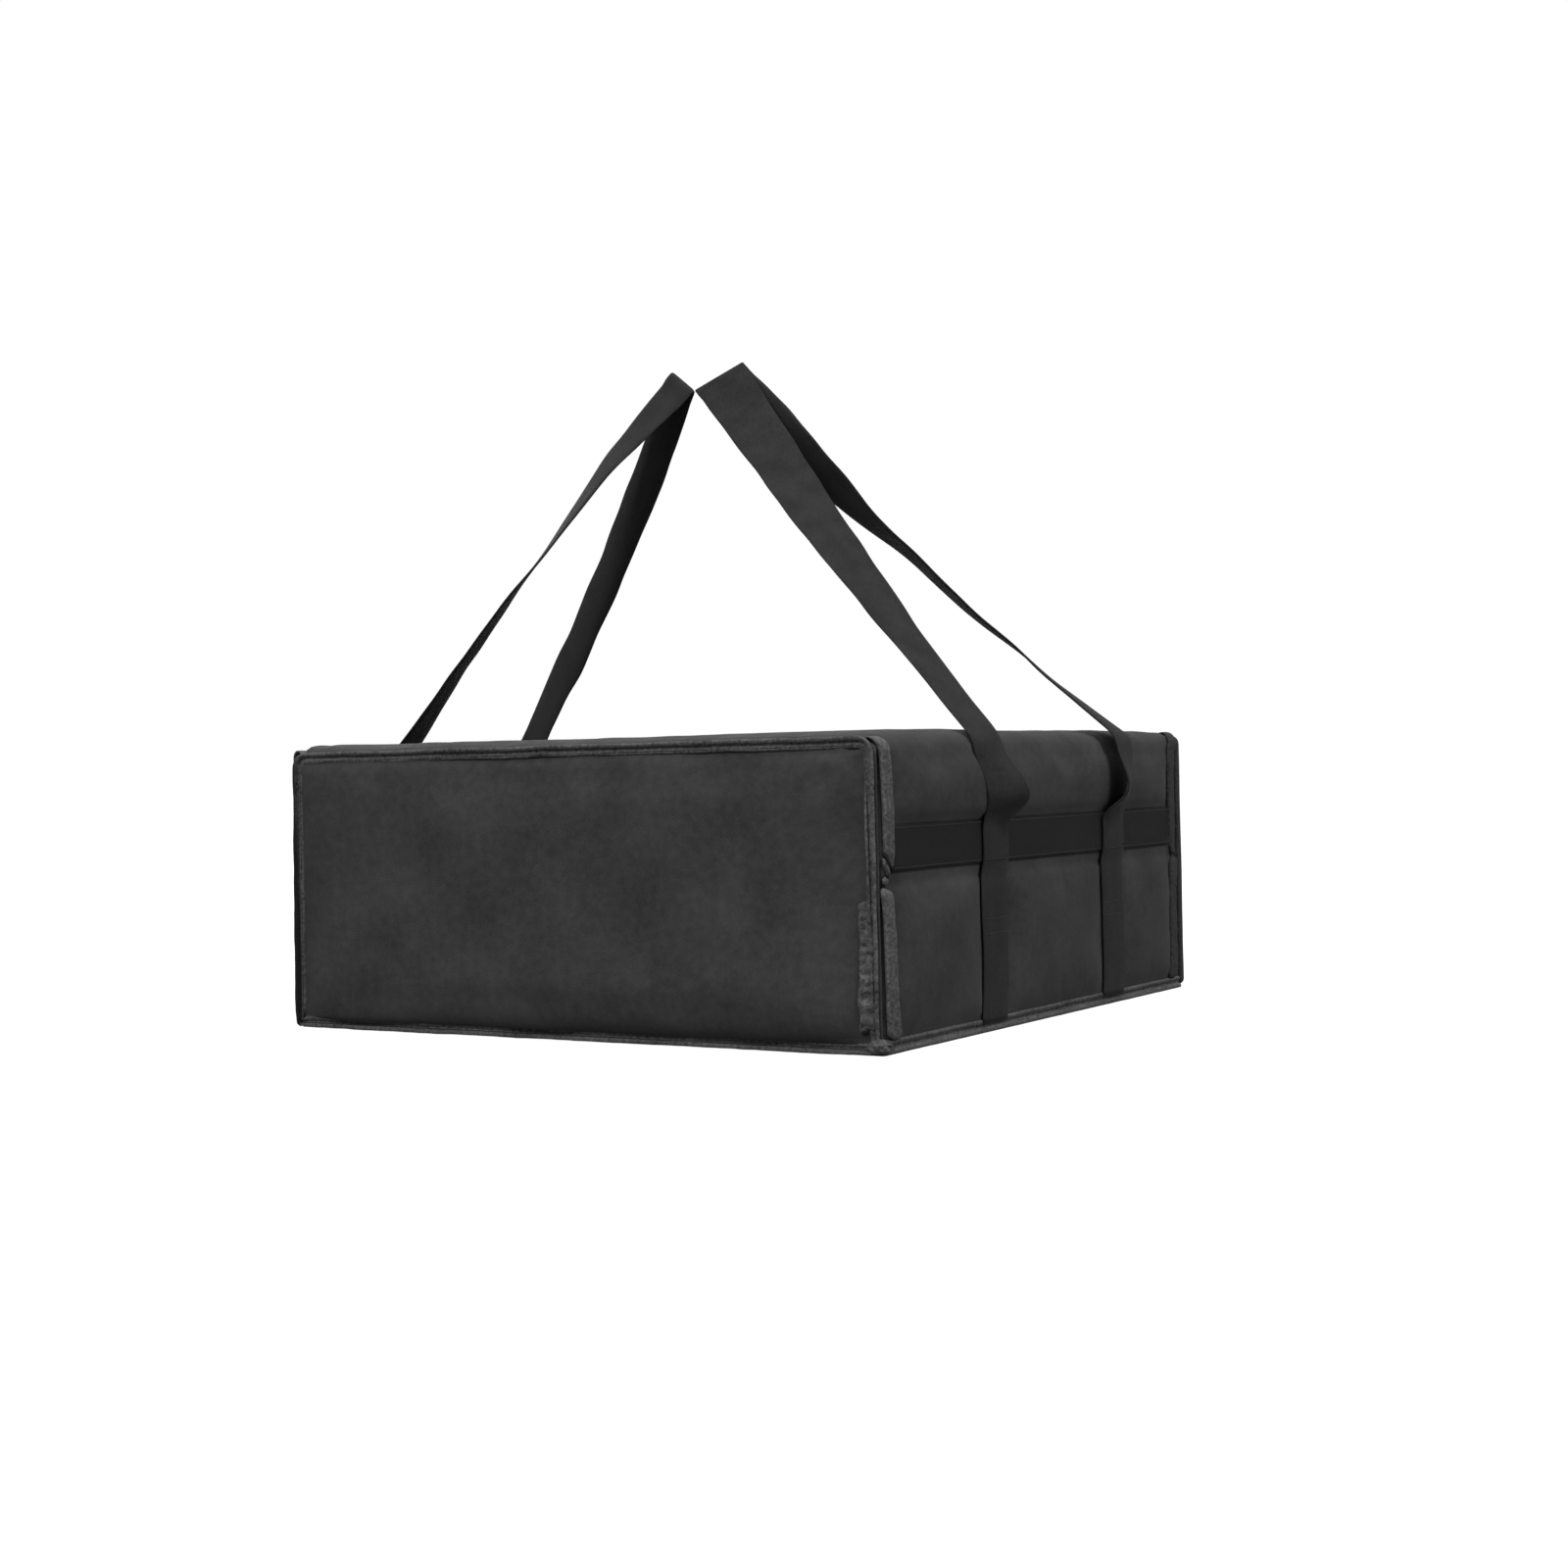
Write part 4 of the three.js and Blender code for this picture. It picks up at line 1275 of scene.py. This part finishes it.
def makeWebbing(looks, wall, side):
    rearLegShape, frontLegShape = legs[wall]["rear"], legs[wall]["front"]
    flat = Vector((0, webbing["width"] / 2, 0))
    ridgeAcross = Vector((side * webbing["ridge"].x, webbing["ridge"].y, webbing["ridge"].z)) / 2
    grip = Vector((side * webbing["grip"].x, webbing["grip"].y, webbing["grip"].z))
    ridge = grip + ridgeAcross
    rearStrap, rearStrapWidths = strapRun(side, wallLayout["rearStrap"], rearLegShape)
    frontStrap, frontStrapWidths = strapRun(side, wallLayout["frontStrap"], frontLegShape)
    rearRoot = rearStrap[-1] - driftWay[side] * rearLegShape["drift"][0] * mm
    frontRoot = frontStrap[-1] - driftWay[side] * frontLegShape["drift"][0] * mm
    rearLeg, rearWidths = legRun(side, rearRoot, flat, ridge, ridgeAcross, rearLegShape)
    frontLeg, frontWidths = legRun(side, frontRoot, -flat, ridge, ridgeAcross, frontLegShape)
    pull = ridge * 2 - (rearLeg[-1] + frontLeg[-1]) / 2
    bend = [bezier(rearLeg[-1], pull, frontLeg[-1], k / 8) for k in range(1, 8)]
    points = rearStrap + rearLeg + bend + frontLeg[::-1] + frontStrap[::-1]
    widths = rearStrapWidths + rearWidths + [ridgeAcross] * len(bend)
    widths += frontWidths[::-1] + [-width for width in frontStrapWidths[::-1]]
    held = range(len(rearStrap) + len(rearLeg) - 3, len(rearStrap) + len(rearLeg) + len(bend) + 3)
    for _ in range(webbing["smoothing"]):
        points, widths = smoothed(points, held), smoothed(widths, held)
    sections = []
    for k, (point, width) in enumerate(zip(points, widths)):
        tangent = points[min(k + 1, len(points) - 1)] - points[max(k - 1, 0)]
        out = tangent.cross(width).normalized()
        free = min(max((point.z - topHeight) / webbing["freeRise"], 0), 1)
        shaken = out * (free * ripple(point, (1.6 * mm, 40 * mm, 81)))
        girth = 1 + (0.015 + free * 0.03) * wave(point, 24 * mm, 82)
        sections.append((point + shaken, width / flat.length * girth, out))
    thickness = webbing["thickness"]
    profile = [(a, h - thickness / 2) for a, h in tapeProfile(webbing["width"], thickness)]
    piece = newPiece(f"{wall}Webbing", sweep(sections, profile), looks["strap"])
    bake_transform(piece)
    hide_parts(f"{wall}_rear_strap", f"{wall}_front_strap", f"{wall}_handle")


def makeFlap(looks):
    flapLow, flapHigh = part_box("flap_cover")
    puff = {"step": 5 * mm, "pressure": 5, "bending": 8, "fullness": 0.002, "frames": 18, "cap": 3 * mm}
    panel = {
        "low": flapLow.z,
        "high": flapHigh.z,
        "half": halfWidth,
        "topRadius": corners["flapTop"],
        "footRadius": corners["foot"],
    }
    fold = {"radius": 3 * mm, "rise": 0.6 * mm, "overlap": 16 * mm}
    hem = {"width": 9 * mm, "sewn": 9.5 * mm, "topDrop": 12 * mm}
    front = flapHigh.y
    foldTop = topHeight + fold["rise"] + fabricThickness
    straight = foldTop - fold["radius"] - flapLow.z
    bendRun = fold["radius"] * math.pi / 2
    fullRun = straight + bendRun + fold["overlap"]

    def place(x, run):
        z = min(flapLow.z + run, panel["high"])
        width = x * halfAt(z, panel) / halfWidth
        if run <= straight:
            return Vector((width, front, flapLow.z + run))
        if run <= straight + bendRun:
            angle = (run - straight) / fold["radius"]
            back = front - fold["radius"] + fold["radius"] * math.cos(angle)
            return Vector((width, back, foldTop - fold["radius"] + fold["radius"] * math.sin(angle)))
        return Vector((width, front - fold["radius"] - (run - straight - bendRun), foldTop))

    xMarks = [halfWidth, halfWidth - hem["width"], -halfWidth + hem["width"], -halfWidth]
    runMarks = [0, hem["width"], straight - hem["width"], straight, straight + bendRun, fullRun]
    xStops = [-x for x in spread([-x for x in xMarks], puff["step"])]
    piece = newPiece("flapFabric", gridSheet(xStops, spread(runMarks, puff["step"]), place), looks["cover"])

    def rimGap(point):
        return min(halfWidth - abs(point.x), point.z - flapLow.z)

    def sewn(point):
        if point.z > panel["high"] - hem["topDrop"] or point.y < front - 1 * mm:
            return 1
        return 1 if rimGap(point) < hem["sewn"] else 0

    puffSheet(piece, sewn, puff)

    def folds(point):
        if sewn(point) == 1:
            return 0
        soft = ripple(point, (0.8 * mm, 110 * mm, 31), (0.25 * mm, 30 * mm, 32))
        edgeFade = math.exp(-(rimGap(point) - hem["width"]) / hem["width"])
        return soft + edgeFade * ripple(point, (0.35 * mm, 7 * mm, 33))

    raiseBy(piece, folds)
    thicken(piece, fabricThickness)
    fixShape(piece)
    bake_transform(piece)
    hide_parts("flap_cover")
    return panel


def makeFlapBinding(looks, panel):
    wrap = {"outer": 9 * mm, "inner": 2.6 * mm, "rise": 2.6 * mm, "around": 1.3 * mm, "step": 3 * mm}
    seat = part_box("flap_cover")[1].y + 0.1 * mm
    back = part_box("flap_liner")[0].y - seat
    out = Vector((0, 1, 0))
    profile = [
        (wrap["outer"], 0),
        (wrap["outer"] - 0.5 * mm, 0.4 * wrap["rise"]),
        (0.6 * wrap["outer"], 0.72 * wrap["rise"]),
        (0.3 * wrap["outer"], wrap["rise"]),
        (0.06 * wrap["outer"], 0.8 * wrap["rise"]),
        (-wrap["around"], 0.1 * wrap["rise"]),
        (-1.2 * wrap["around"], 0.5 * back),
        (-wrap["around"], back),
        (0, back - 0.2 * mm),
        (wrap["inner"], back),
        (wrap["inner"], back + 0.7 * mm),
        (0.1 * mm, back + 0.7 * mm),
        (0, 0),
    ]
    limit = panel["high"] - 0.3 * mm
    path = ringPath(panel, 0.2 * mm, wrap["step"])
    first = next(k for k, (point, _) in enumerate(path) if point.x < 0 and point.z < limit)
    path = path[first:] + path[:first]
    sections = []
    for point, outward in path:
        if point.z > limit:
            break
        middle = Vector((point.x, seat, point.z))
        lift = 1 + ripple(middle, (0.05, 18 * mm, 41))
        girth = 1 + ripple(middle, (0.08, 26 * mm, 42))
        wobble = ripple(middle, (0.3 * mm, 40 * mm, 43))
        sections.append((middle + outward * wobble, -outward * girth, out * lift))
    piece = newPiece("flapBinding", sweep(sections, profile), looks["shadedFrontTape"])
    settle(piece, "flap", ["flap_binding"], "binding_tape")


def makeMouthBinding(looks):
    low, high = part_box("mouth_binding")
    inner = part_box("wrap_liner")[0].x
    width = halfWidth + inner
    middleY = (low.y + high.y) / 2
    depth = high.y - low.y
    sections = []
    arch = (halfWidth - width / 2, high.z - width / 2, corners["top"] - width / 2)
    runs = spread([0, wallRise, wallRise + cornerRun, archRun / 2], 5 * mm)
    runs += [archRun - run for run in reversed(runs[:-1])]
    for run in runs:
        x, z = archPoint(run, *arch)
        nextX, nextZ = archPoint(min(run + 1 * mm, archRun), *arch)
        lastX, lastZ = archPoint(max(run - 1 * mm, 0), *arch)
        along = Vector((nextX - lastX, 0, nextZ - lastZ)).normalized()
        out = Vector((along.z, 0, -along.x))
        middle = Vector((x, middleY, z))
        lift = 1 + ripple(middle, (0.06, 20 * mm, 51))
        sections.append((middle, Vector((0, 1, 0)) * lift, out))
    shares = [(-0.5, -0.42), (-0.42, -0.5), (0.42, -0.5), (0.5, -0.42),
              (0.5, 0.42), (0.42, 0.5), (-0.42, 0.5), (-0.5, 0.42)]
    profile = [(a * (depth - 0.4 * mm), h * (width - 0.6 * mm)) for a, h in shares]
    piece = newPiece("mouthBinding", sweep(sections, profile), looks["shadedFrontTape"])
    settle(piece, "bag", ["mouth_binding"], "binding_tape")


def makeLipBinding(looks):
    low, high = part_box("lip_binding")
    width = high.y - low.y
    sections = []
    for x in spread([low.x, high.x], 4 * mm):
        middle = Vector((x, (low.y + high.y) / 2, low.z))
        lift = 1 + ripple(middle, (0.12, 18 * mm, 53))
        sections.append((middle, Vector((0, 1, 0)), Vector((0, 0, 1)) * lift))
    piece = newPiece("lipBinding", sweep(sections, tapeProfile(width, high.z - low.z)), looks["binding"])
    settle(piece, "bag", ["lip_binding"], "binding_tape")


# A flat sheet between two corners of a node's box, facing along one axis
def flatSheet(name, node, body, facing, film):
    low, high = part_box(node)
    axis = max(range(3), key=lambda k: abs(facing[k]))
    others = [k for k in range(3) if k != axis]
    thickness = high[axis] - low[axis]
    face = high[axis] if facing[axis] > 0 else low[axis]

    def place(u, v):
        point = Vector((0, 0, 0))
        point[axis] = face
        point[others[0]], point[others[1]] = u, v
        if body == "flap":
            cut = max(v - high.z + corners["flapTop"], 0)
            point.x *= 1 - cut / high.x
        return point

    spans = [spread([low[k], high[k]], film["step"]) for k in others]
    mesh = gridSheet(spans[0], spans[1], place)
    if facesAway(mesh, facing):
        bmesh.ops.reverse_faces(mesh, faces=mesh.faces[:])
    piece = newPiece(name, mesh, film["look"])
    if film["crinkle"] > 0:
        raiseBy(piece, lambda point: -film["crinkle"] * (0.5 + 0.5 * wave(point, 16 * mm, len(name))))
    thicken(piece, min(thickness, 1 * mm))
    settle(piece, body, [node], film["slot"])


def facesAway(mesh, facing):
    mesh.normal_update()
    return mesh.faces[:][0].normal.dot(Vector(facing)) < 0


def makeFlatSheets(looks):
    cover = {"look": looks["cover"], "slot": "cover_fabric", "crinkle": 0, "step": 12 * mm}
    foil = {"look": looks["foil"], "slot": "foil_lining", "crinkle": 0.3 * mm, "step": 6 * mm}
    flatSheet("baseFabric", "bottom_cover", "bag", (0, 0, -1), cover)
    flatSheet("lipFabric", "lip_cover", "bag", (0, 1, 0), cover)
    flatSheet("floorFoil", "bottom_liner", "bag", (0, 0, 1), foil)
    flatSheet("endFoil", "end_liner", "bag", (0, 1, 0), foil)
    flatSheet("lipFoil", "lip_liner", "bag", (0, -1, 0), foil)
    flatSheet("flapFoil", "flap_liner", "flap", (0, -1, 0), foil)


def makeWallFoil(looks):
    low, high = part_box("wrap_liner")
    thickness = 0.8 * mm
    half, top, foot = high.x - thickness, high.z - thickness, low.z
    radius = corners["foot"]
    rise = top - radius - foot
    bendRun = radius * math.pi / 2
    topHalf = half - radius
    full = 2 * (rise + bendRun + topHalf)

    def place(y, run):
        side = 1 if run <= full / 2 else -1
        run = min(run, full - run)
        if run <= rise:
            return Vector((side * half, y, foot + run))
        if run <= rise + bendRun:
            angle = (run - rise) / radius
            x = half - radius + radius * math.cos(angle)
            return Vector((side * x, y, top - radius + radius * math.sin(angle)))
        return Vector((side * topHalf * (1 - (run - rise - bendRun) / topHalf), y, top))

    marks = [0, rise, rise + bendRun]
    runs = spread(marks + [full - run for run in reversed(marks)], 6 * mm)
    mesh = gridSheet(spread([low.y, high.y], 6 * mm), runs, place)
    bmesh.ops.reverse_faces(mesh, faces=mesh.faces[:])
    piece = newPiece("wallFoil", mesh, looks["foil"])
    raiseBy(piece, lambda point: -0.25 * mm * (0.5 + 0.5 * wave(point, 18 * mm, 91)))
    thicken(piece, 0.6 * mm)
    settle(piece, "bag", ["wrap_liner"], "foil_lining")


def softenEdges(slab, edges, offset, segments):
    bmesh.ops.bevel(slab, geom=edges, offset=offset, offset_type="OFFSET", segments=segments,
                    profile=0.5, affect="EDGES", material=-1)


# Foam boards: cut slabs with softened edges. Those that run the whole depth stand back from the
# groove beside the end seam, and the flap's has round top corners
def makeBoards(looks):
    boards = {
        "topBoard": ("top_foam", "bag"),
        "floorBoard": ("bottom_foam", "bag"),
        "endBoard": ("end_foam", "bag"),
        "lipBoard": ("lip_foam", "bag"),
        "rightLowerBoard": ("right_foam_lower", "bag"),
        "rightUpperBoard": ("right_foam_upper", "bag"),
        "leftLowerBoard": ("left_foam_lower", "bag"),
        "leftUpperBoard": ("left_foam_upper", "bag"),
        "flapBoard": ("flap_foam", "flap"),
    }
    for name, (node, body) in boards.items():
        low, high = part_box(node)
        if low.y < bodyRear + 1 * mm and high.y > mouthPlane - 60 * mm:
            low.y += wallSwell["grooveWidth"] * 2
        size = high - low
        slab = bmesh.new()
        box = Matrix.Translation((low + high) / 2) @ Matrix.Diagonal((*size, 1))
        bmesh.ops.create_cube(slab, size=1, matrix=box)
        if body == "flap":
            topCorners = [edge for edge in slab.edges
                          if all(vert.co.z > high.z - 1 * mm for vert in edge.verts)
                          and abs(edge.verts[0].co.x - edge.verts[1].co.x) < 1 * mm]
            softenEdges(slab, topCorners, corners["flapTop"] + 2 * mm, 4)
        softenEdges(slab, slab.edges[:], 1.2 * mm, 3)
        piece = newPiece(name, slab, looks["foam"])
        settle(piece, body, [node], "foam_board")


def makeClosure(looks):
    strips = {
        "rightHookTape": ("right_hook_strip", "flap", "hook", -1),
        "leftHookTape": ("left_hook_strip", "flap", "hook", -1),
        "loopTape": ("loop_strip", "bag", "loop", 1),
    }
    for name, (node, body, look, facing) in strips.items():
        low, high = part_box(node)
        back = low.y if facing > 0 else high.y
        middleZ = (low.z + high.z) / 2
        sections = [(Vector((x, back, middleZ)), Vector((0, 0, 1)), Vector((0, facing, 0)))
                    for x in spread([low.x, high.x], 6 * mm)]
        mesh = sweep(sections, tapeProfile(high.z - low.z, high.y - low.y - 0.1 * mm))
        piece = newPiece(name, mesh, looks[look])
        settle(piece, body, [node], "hook_and_loop")


# A seam's thread along a path: it shows for most of each stitch and dives into the cloth between
def addStitches(target, path, out, pitch=3.6 * mm):
    thread = {"radius": 0.28 * mm, "dive": 0.9 * mm, "parts": 6}
    lengths = lengthsAlong(path)
    count = max(1, int(lengths[-1] / pitch)) * thread["parts"]
    sections = []
    place = 0
    for k in range(count + 1):
        reach = lengths[-1] * k / count
        while place < len(path) - 2 and lengths[place + 1] < reach:
            place += 1
        along = (path[place + 1] - path[place]).normalized()
        depth = thread["dive"] if k % thread["parts"] == 0 else 0
        middle = path[place] + along * (reach - lengths[place]) - out * depth
        sections.append((middle, out.cross(along).normalized(), out))
    turns = [math.radians(72 * k) for k in range(5)]
    profile = [(thread["radius"] * math.cos(turn), thread["radius"] * math.sin(turn)) for turn in turns]
    joinInto(target, sweep(sections, profile))


def makeThreads(looks, endPanel, flapPanel):
    ring = {
        "endOut": 2.2 * mm,
        "endInset": 6.4 * mm,
        "flapOut": 1.8 * mm,
        "flapInset": 6.6 * mm,
        "step": 4 * mm,
    }
    seam = {"out": 1.5 * mm, "height": 7.8 * mm}
    band = {"out": 1.85 * mm, "inset": 2 * mm}
    strap = {"inset": 2.5 * mm, "foot": 30 * mm, "underFold": 8 * mm, "cross": (68 * mm, 78 * mm)}
    bagThread, flapThread = bmesh.new(), bmesh.new()
    endOut, flapOut = Vector((0, -1, 0)), Vector((0, 1, 0))
    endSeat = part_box("end_cover")[0].y - ring["endOut"]
    endPath = ringPath(endPanel, ring["endInset"], ring["step"])
    ringPoints = [Vector((p.x, endSeat, p.z)) for p, _ in endPath]
    addStitches(bagThread, ringPoints + ringPoints[:1], endOut)
    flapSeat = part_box("flap_cover")[1].y + ring["flapOut"]
    limit = flapPanel["high"] - corners["top"]
    flapPath = ringPath(flapPanel, ring["flapInset"], ring["step"])
    flapPoints = [Vector((p.x, flapSeat, p.z)) for p, _ in flapPath]
    first = next(k for k, p in enumerate(flapPoints) if p.x < 0 and p.z < limit)
    flapPoints = [p for p in flapPoints[first:] + flapPoints[:first] if p.z < limit]
    addStitches(flapThread, flapPoints, flapOut)
    for _, side in walls:
        out = Vector((side, 0, 0))

        # Straight rows of stitches on this wall, each from one (y, z) to the next
        def sewRows(outward, rows):
            x = side * (halfWidth + outward)
            for start, end in rows:
                addStitches(bagThread, [Vector((x, *start)), Vector((x, *end))], out)

        sewRows(seam["out"], [((bodyRear, seam["height"]), (mouthPlane, seam["height"]))])
        edges = (bandLow.z + band["inset"], bandHigh.z - band["inset"])
        sewRows(band["out"], [((bandLow.y, z), (bandHigh.y, z)) for z in edges])
        for middle in (wallLayout["rearStrap"], wallLayout["frontStrap"]):
            reach = wallLayout["strapHalf"] - strap["inset"]
            back, front = middle - reach, middle + reach
            strapTop = creaseHeight - strap["underFold"]
            rows = [((y, strap["foot"]), (y, strapTop)) for y in (back, front)]
            rows += [((back, z), (front, z)) for z in strap["cross"]]
            sewRows(webbing["onWall"] + webbing["thickness"] / 2, rows)
            box = [(back, edges[0]), (front, edges[0]), (front, edges[1]), (back, edges[1])]
            sewRows(webbing["onBand"] + webbing["thickness"] / 2, zip(box, box[1:] + box[:1]))
    for name, mesh, body in (("bagThread", bagThread, "bag"), ("flapThread", flapThread, "flap")):
        piece = newPiece(name, mesh, looks["thread"])
        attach(piece, body)


makeCamera()
makeStage()
makeLamps()
looks = makeLooks()
print("camera, stage and finishes are ready")
makeWrap(looks)
endPanel = makeEndPanel(looks)
print("body fabric is laid")
makeEndBinding(looks, endPanel)
makeUprightBindings(looks)
makeSeamBindings(looks)
makeMouthBinding(looks)
makeLipBinding(looks)
print("seams are bound")
makeBands(looks)
makeWebbing(looks, "right", 1)
makeWebbing(looks, "left", -1)
print("webbing is sewn on")
flapPanel = makeFlap(looks)
makeFlapBinding(looks, flapPanel)
makeFlatSheets(looks)
makeWallFoil(looks)
makeBoards(looks)
makeClosure(looks)
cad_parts["base_board"].data.materials.clear()
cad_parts["base_board"].data.materials.append(looks["fluted"])
print("flap, lining and boards are in")
makeThreads(looks, endPanel, flapPanel)
print("stitches are done")
